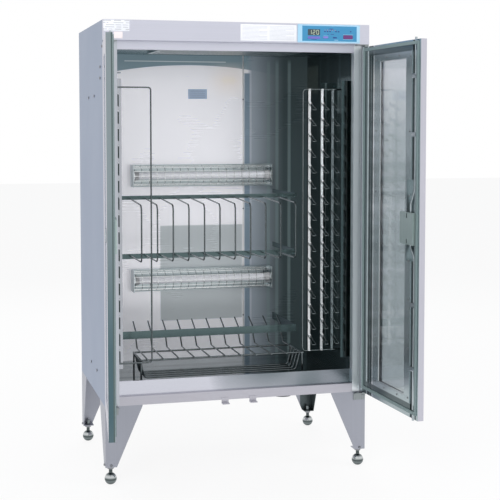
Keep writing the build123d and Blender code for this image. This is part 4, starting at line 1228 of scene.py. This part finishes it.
@dataclass
class Lamps:
    """The germicidal lamps: folded housings, pale tubes, sockets and bright end rings. Millimetres."""

    socket_radius: float = 17.0
    socket_length: float = 22.0
    ring_radius: float = 30.0
    ring_length: float = 5.0
    tube_radius: float = 12.75

    def sockets(self) -> None:
        """A stepped socket on each end of each tube, and a bright ring against each end cap."""
        low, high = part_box("lamp_tubes")
        y = (low.y + high.y) / 2
        tube = self.tube_radius * MM
        heights = (low.z + tube, high.z - tube)
        socket = turned("lamp_socket", self.socket_radius * MM, self.socket_length * 0.6 * MM, 28)
        pick(socket, facing((0, 0, 1)))
        rim(0.0022)
        pull(0, 0, self.socket_length * 0.4 * MM)
        rim(0.0012)
        leave()
        round_edges(socket, 0.0005)
        ends = [aim((x, y, z), (way, 0, 0)) for z in heights for x, way in ((low.x, 1), (high.x, -1))]
        fit_out(copies(socket, ends, "lamp_sockets"), CERAMIC)
        ring = turned("lamp_ring", self.ring_radius * MM, self.ring_length * MM, 36)
        sink(ring, (0, 0, 1), 0.004, 0.003)
        round_edges(ring, 0.0008)
        fit_out(copies(ring, ends, "lamp_rings"), BRIGHT_STEEL)

    def build(self) -> None:
        """Finishes the lamps' nodes and adds their sockets."""
        dress(Finish("lamp_sheet", (0.55, 0.62, 0.64), roughness=0.24, grain=Grain.ALONG_X, contrast=0.2),
              "lamp_housings")
        dress(matte("lamp_glass", (0.82, 0.83, 0.88), 0.08, contrast=0.03, coat=0.5, glow=0.22), "lamp_tubes")
        dress(Finish("guard_wire", (0.80, 0.82, 0.83), roughness=0.2, grain=Grain.ROUND, contrast=0.2),
              "lamp_guards")
        self.sockets()


@dataclass
class Machinery:
    """What the head holds: blower, motor, impeller, heater and ballasts."""

    def build(self) -> None:
        """Finishes the nodes over the ceiling."""
        dress(Finish("zinc_sheet", (0.42, 0.44, 0.46), metallic=0.9, roughness=0.42, grain=Grain.ROUND,
                     contrast=0.22), "blower_housing", "lamp_ballasts")
        dress(Finish("motor_enamel", (0.10, 0.11, 0.13), metallic=0.2, roughness=0.4, grain=Grain.ROUND),
              "blower_motor")
        dress(Finish("impeller_sheet", (0.50, 0.52, 0.54), roughness=0.35, grain=Grain.ROUND),
              "blower_impeller")
        dress(Finish("heater_rods", (0.28, 0.24, 0.22), metallic=0.8, roughness=0.5, grain=Grain.ROUND,
                     contrast=0.3), "air_heater")


class Side(Enum):
    """Which door: the node prefix, the sign of its side and the joint limit at which it is closed."""

    LEFT = ("left", -1, 1)
    RIGHT = ("right", 1, 0)

    @property
    def prefix(self) -> str:
        """Returns the start of the door's names."""
        return self.value[0]


@dataclass
class Door:
    """One swing door, dressed in its own frame: s from the pivot, t towards the inside.

    Millimetres, apart from the bands' blur, which is in metres like every patch's.
    """

    side: Side
    thickness: float = 20.0
    window: Area = (139.5, 341.0, 328.0, 1388.0)
    frame_rim: Area = (99.5, 381.0, 309.0, 1407.0)
    free_edge: float = 439.0
    band_blur: float = 0.0022
    screw_heights: tuple[float, ...] = (481.0, 635.0, 757.0, 960.0, 1160.0)
    screw_columns: tuple[float, ...] = (190.0, 290.0)
    screw_margin: float = 12.0
    screw_ends: tuple[float, float] = (15.0, 14.0)
    screw_drop: float = 9.0
    screw_radius: float = 3.2
    screw_rise: float = 1.8
    bead_width: float = 3.5
    guide_half: float = 14.0
    guide_heights: tuple[float, ...] = (420.0, 620.0, 1150.0, 1330.0)
    rod_setback: float = 394.0

    def place(self) -> Matrix:
        """Returns the matrix from the door's own frame to the cabinet's, worked out from its joint."""
        prefix, sign, closed = self.side.value
        joint = next(j for j in frame["joints"] if j["name"] == f"{prefix}_door_swing")
        angle = -math.radians(joint["range_deg"][closed])
        x, y, _ = joint["pos_m"]
        mirror = Matrix.Diagonal((-sign, 1, 1, 1))
        return Matrix.Translation((x, y, 0)) @ Matrix.Rotation(angle, 4, "Z") @ mirror

    def hang(self, piece: Piece, finish: Finish) -> None:
        """Moves a piece from the door's own frame to where the door stands, and lets it ride on the door.

        Args:
            piece: the mesh object.
            finish: its surface.
        """
        place = self.place()
        piece.data.transform(place)
        if place.determinant() < 0:
            piece.data.flip_normals()
        fit_out(piece, finish, f"{self.side.prefix}_door")

    def bands(self) -> tuple[Patch, ...]:
        """Returns the painted reflections and shade on the polished inner panel: dark and bright bands across
        the door.
        """
        plan = (
            (6.0, 38.0, (0.075, 0.11, 0.115), 1.0),
            (39.0, 47.0, (0.55, 0.62, 0.63), 1.0),
            (49.0, 84.0, DARK_TEAL_REFLECTION, 1.0),
            (66.0, 70.0, (0.26, 0.33, 0.34), 1.0),
            (85.0, 93.0, (0.90, 0.93, 0.95), 1.0),
            (384.5, 400.0, (0.22, 0.27, 0.28), 0.8),
            (416.5, 428.0, (0.05, 0.08, 0.085), 0.9),
        )
        depth = (-0.03, 0.03)
        made = [upright((a * MM, b * MM, 0.2, 1.5), depth, colour, self.band_blur, amount)
                for a, b, colour, amount in plan]
        # Painted dark bands along the bottom and the top of the panel.
        made.append(upright((0.006, 0.428, 0.2895, 0.308), depth, (0.05, 0.08, 0.085), self.band_blur, 0.9))
        made.append(upright((0.045, 0.428, 1.408, 1.432), depth, (0.07, 0.11, 0.115), self.band_blur, 0.9))
        return tuple(made)

    def edge_face(self) -> tuple[Patch, ...]:
        """Returns the painted reflection on the left door's free edge, darker and greener towards its foot."""
        if self.side is Side.RIGHT:
            return ()
        edge = (self.free_edge - 1.5) * MM
        beyond = edge + 0.05
        return (
            Patch((edge, -0.05, 0.2), (beyond, 0.05, 1.6), GREEN_GREY_REFLECTION, 0.001),
            Patch((edge, -0.05, 0.1), (beyond, 0.05, 0.75), DEEP_GREEN_REFLECTION, (0.001, 0.001, 0.45)),
            Patch((edge, 0.0045, 0.2), (beyond, 0.05, 1.6), (0.10, 0.14, 0.14), 0.002),
        )

    def dress(self) -> None:
        """Finishes the door's nodes."""
        prefix = self.side.prefix
        place = self.place()
        dress(Finish(f"{prefix}_door_sheet", (0.56, 0.56, 0.63), metallic=0.85, contrast=0.06, turn=place,
                     patches=self.edge_face()), f"{prefix}_door_shell")
        dress(Finish(f"{prefix}_door_inner_sheet", (0.40, 0.47, 0.49), metallic=0.9, roughness=0.20,
                     contrast=0.18, turn=place, patches=self.bands()), f"{prefix}_door_inner_panel")
        # A painted bright reflection across the top of the glass.
        sky = Patch((-2.0, -2.0, 1.30), (2.0, 2.0, 1.6), (0.92, 0.93, 0.97), 0.34)
        dress(matte("door_glass", (0.60, 0.65, 0.67), 0.03, contrast=0.02, relief=0.0, brush=0.01,
                    transmission=1.0, patches=(sky,)), f"{prefix}_door_glass")
        dress(Finish("gasket_rubber", (0.20, 0.27, 0.275), metallic=0.0, roughness=0.5),
              f"{prefix}_door_gasket")
        dress(Finish("latch_sheet", (0.44, 0.54, 0.53), metallic=0.7), f"{prefix}_door_latch_case")
        dress(BRIGHT_STEEL, *(f"{prefix}_door_{part}" for part in ("rod_upper", "rod_lower", "handle")))

    def screws(self) -> None:
        """Screw heads round the window's frame."""
        face = (self.thickness / 2 + 1.5) * MM
        left, right, bottom, top = self.frame_rim
        heights = (bottom + self.screw_ends[0], *self.screw_heights, top - self.screw_ends[1])
        spots = [(s, z) for s in (left + self.screw_margin, right - self.screw_margin) for z in heights]
        spots += [(s, z) for s in self.screw_columns
                  for z in (bottom + self.screw_drop, top - self.screw_drop)]
        places = [aim((s * MM, face, z * MM), (0, 1, 0)) for s, z in spots]
        blank = screw_blank("frame_screw", self.screw_radius * MM, self.screw_rise * MM)
        self.hang(copies(blank, places, f"{self.side.prefix}_door_screws"), SCREW_STEEL)

    def window_bead(self) -> None:
        """The bright bead that holds the glass, round the window's inner edge."""
        left, right, bottom, top = metres(self.window)
        y = (self.thickness / 2 - 1.0) * MM
        width = self.bead_width * MM
        runs = (
            ((left, y - 0.002, bottom), (left + width, y + 0.0018, top)),
            ((right - width, y - 0.002, bottom), (right, y + 0.0018, top)),
            ((left + width, y - 0.002, bottom), (right - width, y + 0.0018, bottom + width)),
            ((left + width, y - 0.002, top - width), (right - width, y + 0.0018, top)),
        )
        parts = [plate(f"bead_{n}", low, high, 0.0008) for n, (low, high) in enumerate(runs)]
        bead = join(parts, f"{self.side.prefix}_door_bead")
        self.hang(bead, Finish("glass_bead", (0.66, 0.70, 0.72), roughness=0.2))

    def rod_guides(self) -> None:
        """Folded clips that keep the rods in their channel."""
        left, right = metres((self.rod_setback - self.guide_half, self.rod_setback + self.guide_half))
        face = (self.thickness / 2) * MM
        low, high = (left, face - 0.0002, -0.007), (right, face + 0.0014, 0.007)
        clip = plate("rod_guide", low, high, 0.0006)
        sink(clip, (0, 1, 0), 0.003, -0.0006)
        places = [Matrix.Translation((0, 0, z * MM)) for z in self.guide_heights]
        self.hang(copies(clip, places, f"{self.side.prefix}_rod_guides"), BRIGHT_STEEL)

    def build(self) -> None:
        """Finishes the door and adds its small pieces."""
        self.dress()
        self.screws()
        self.window_bead()
        self.rod_guides()


def main() -> None:
    """Builds each sub-assembly in order, then the studio."""
    logging.basicConfig(level=logging.INFO, format="%(name)s: %(message)s")
    Carcass().build()
    Head().build()
    Chamber().build()
    Lamps().build()
    Machinery().build()
    for side in Side:
        Door(side).build()
    Studio().build()


if __name__ == "__main__":
    main()
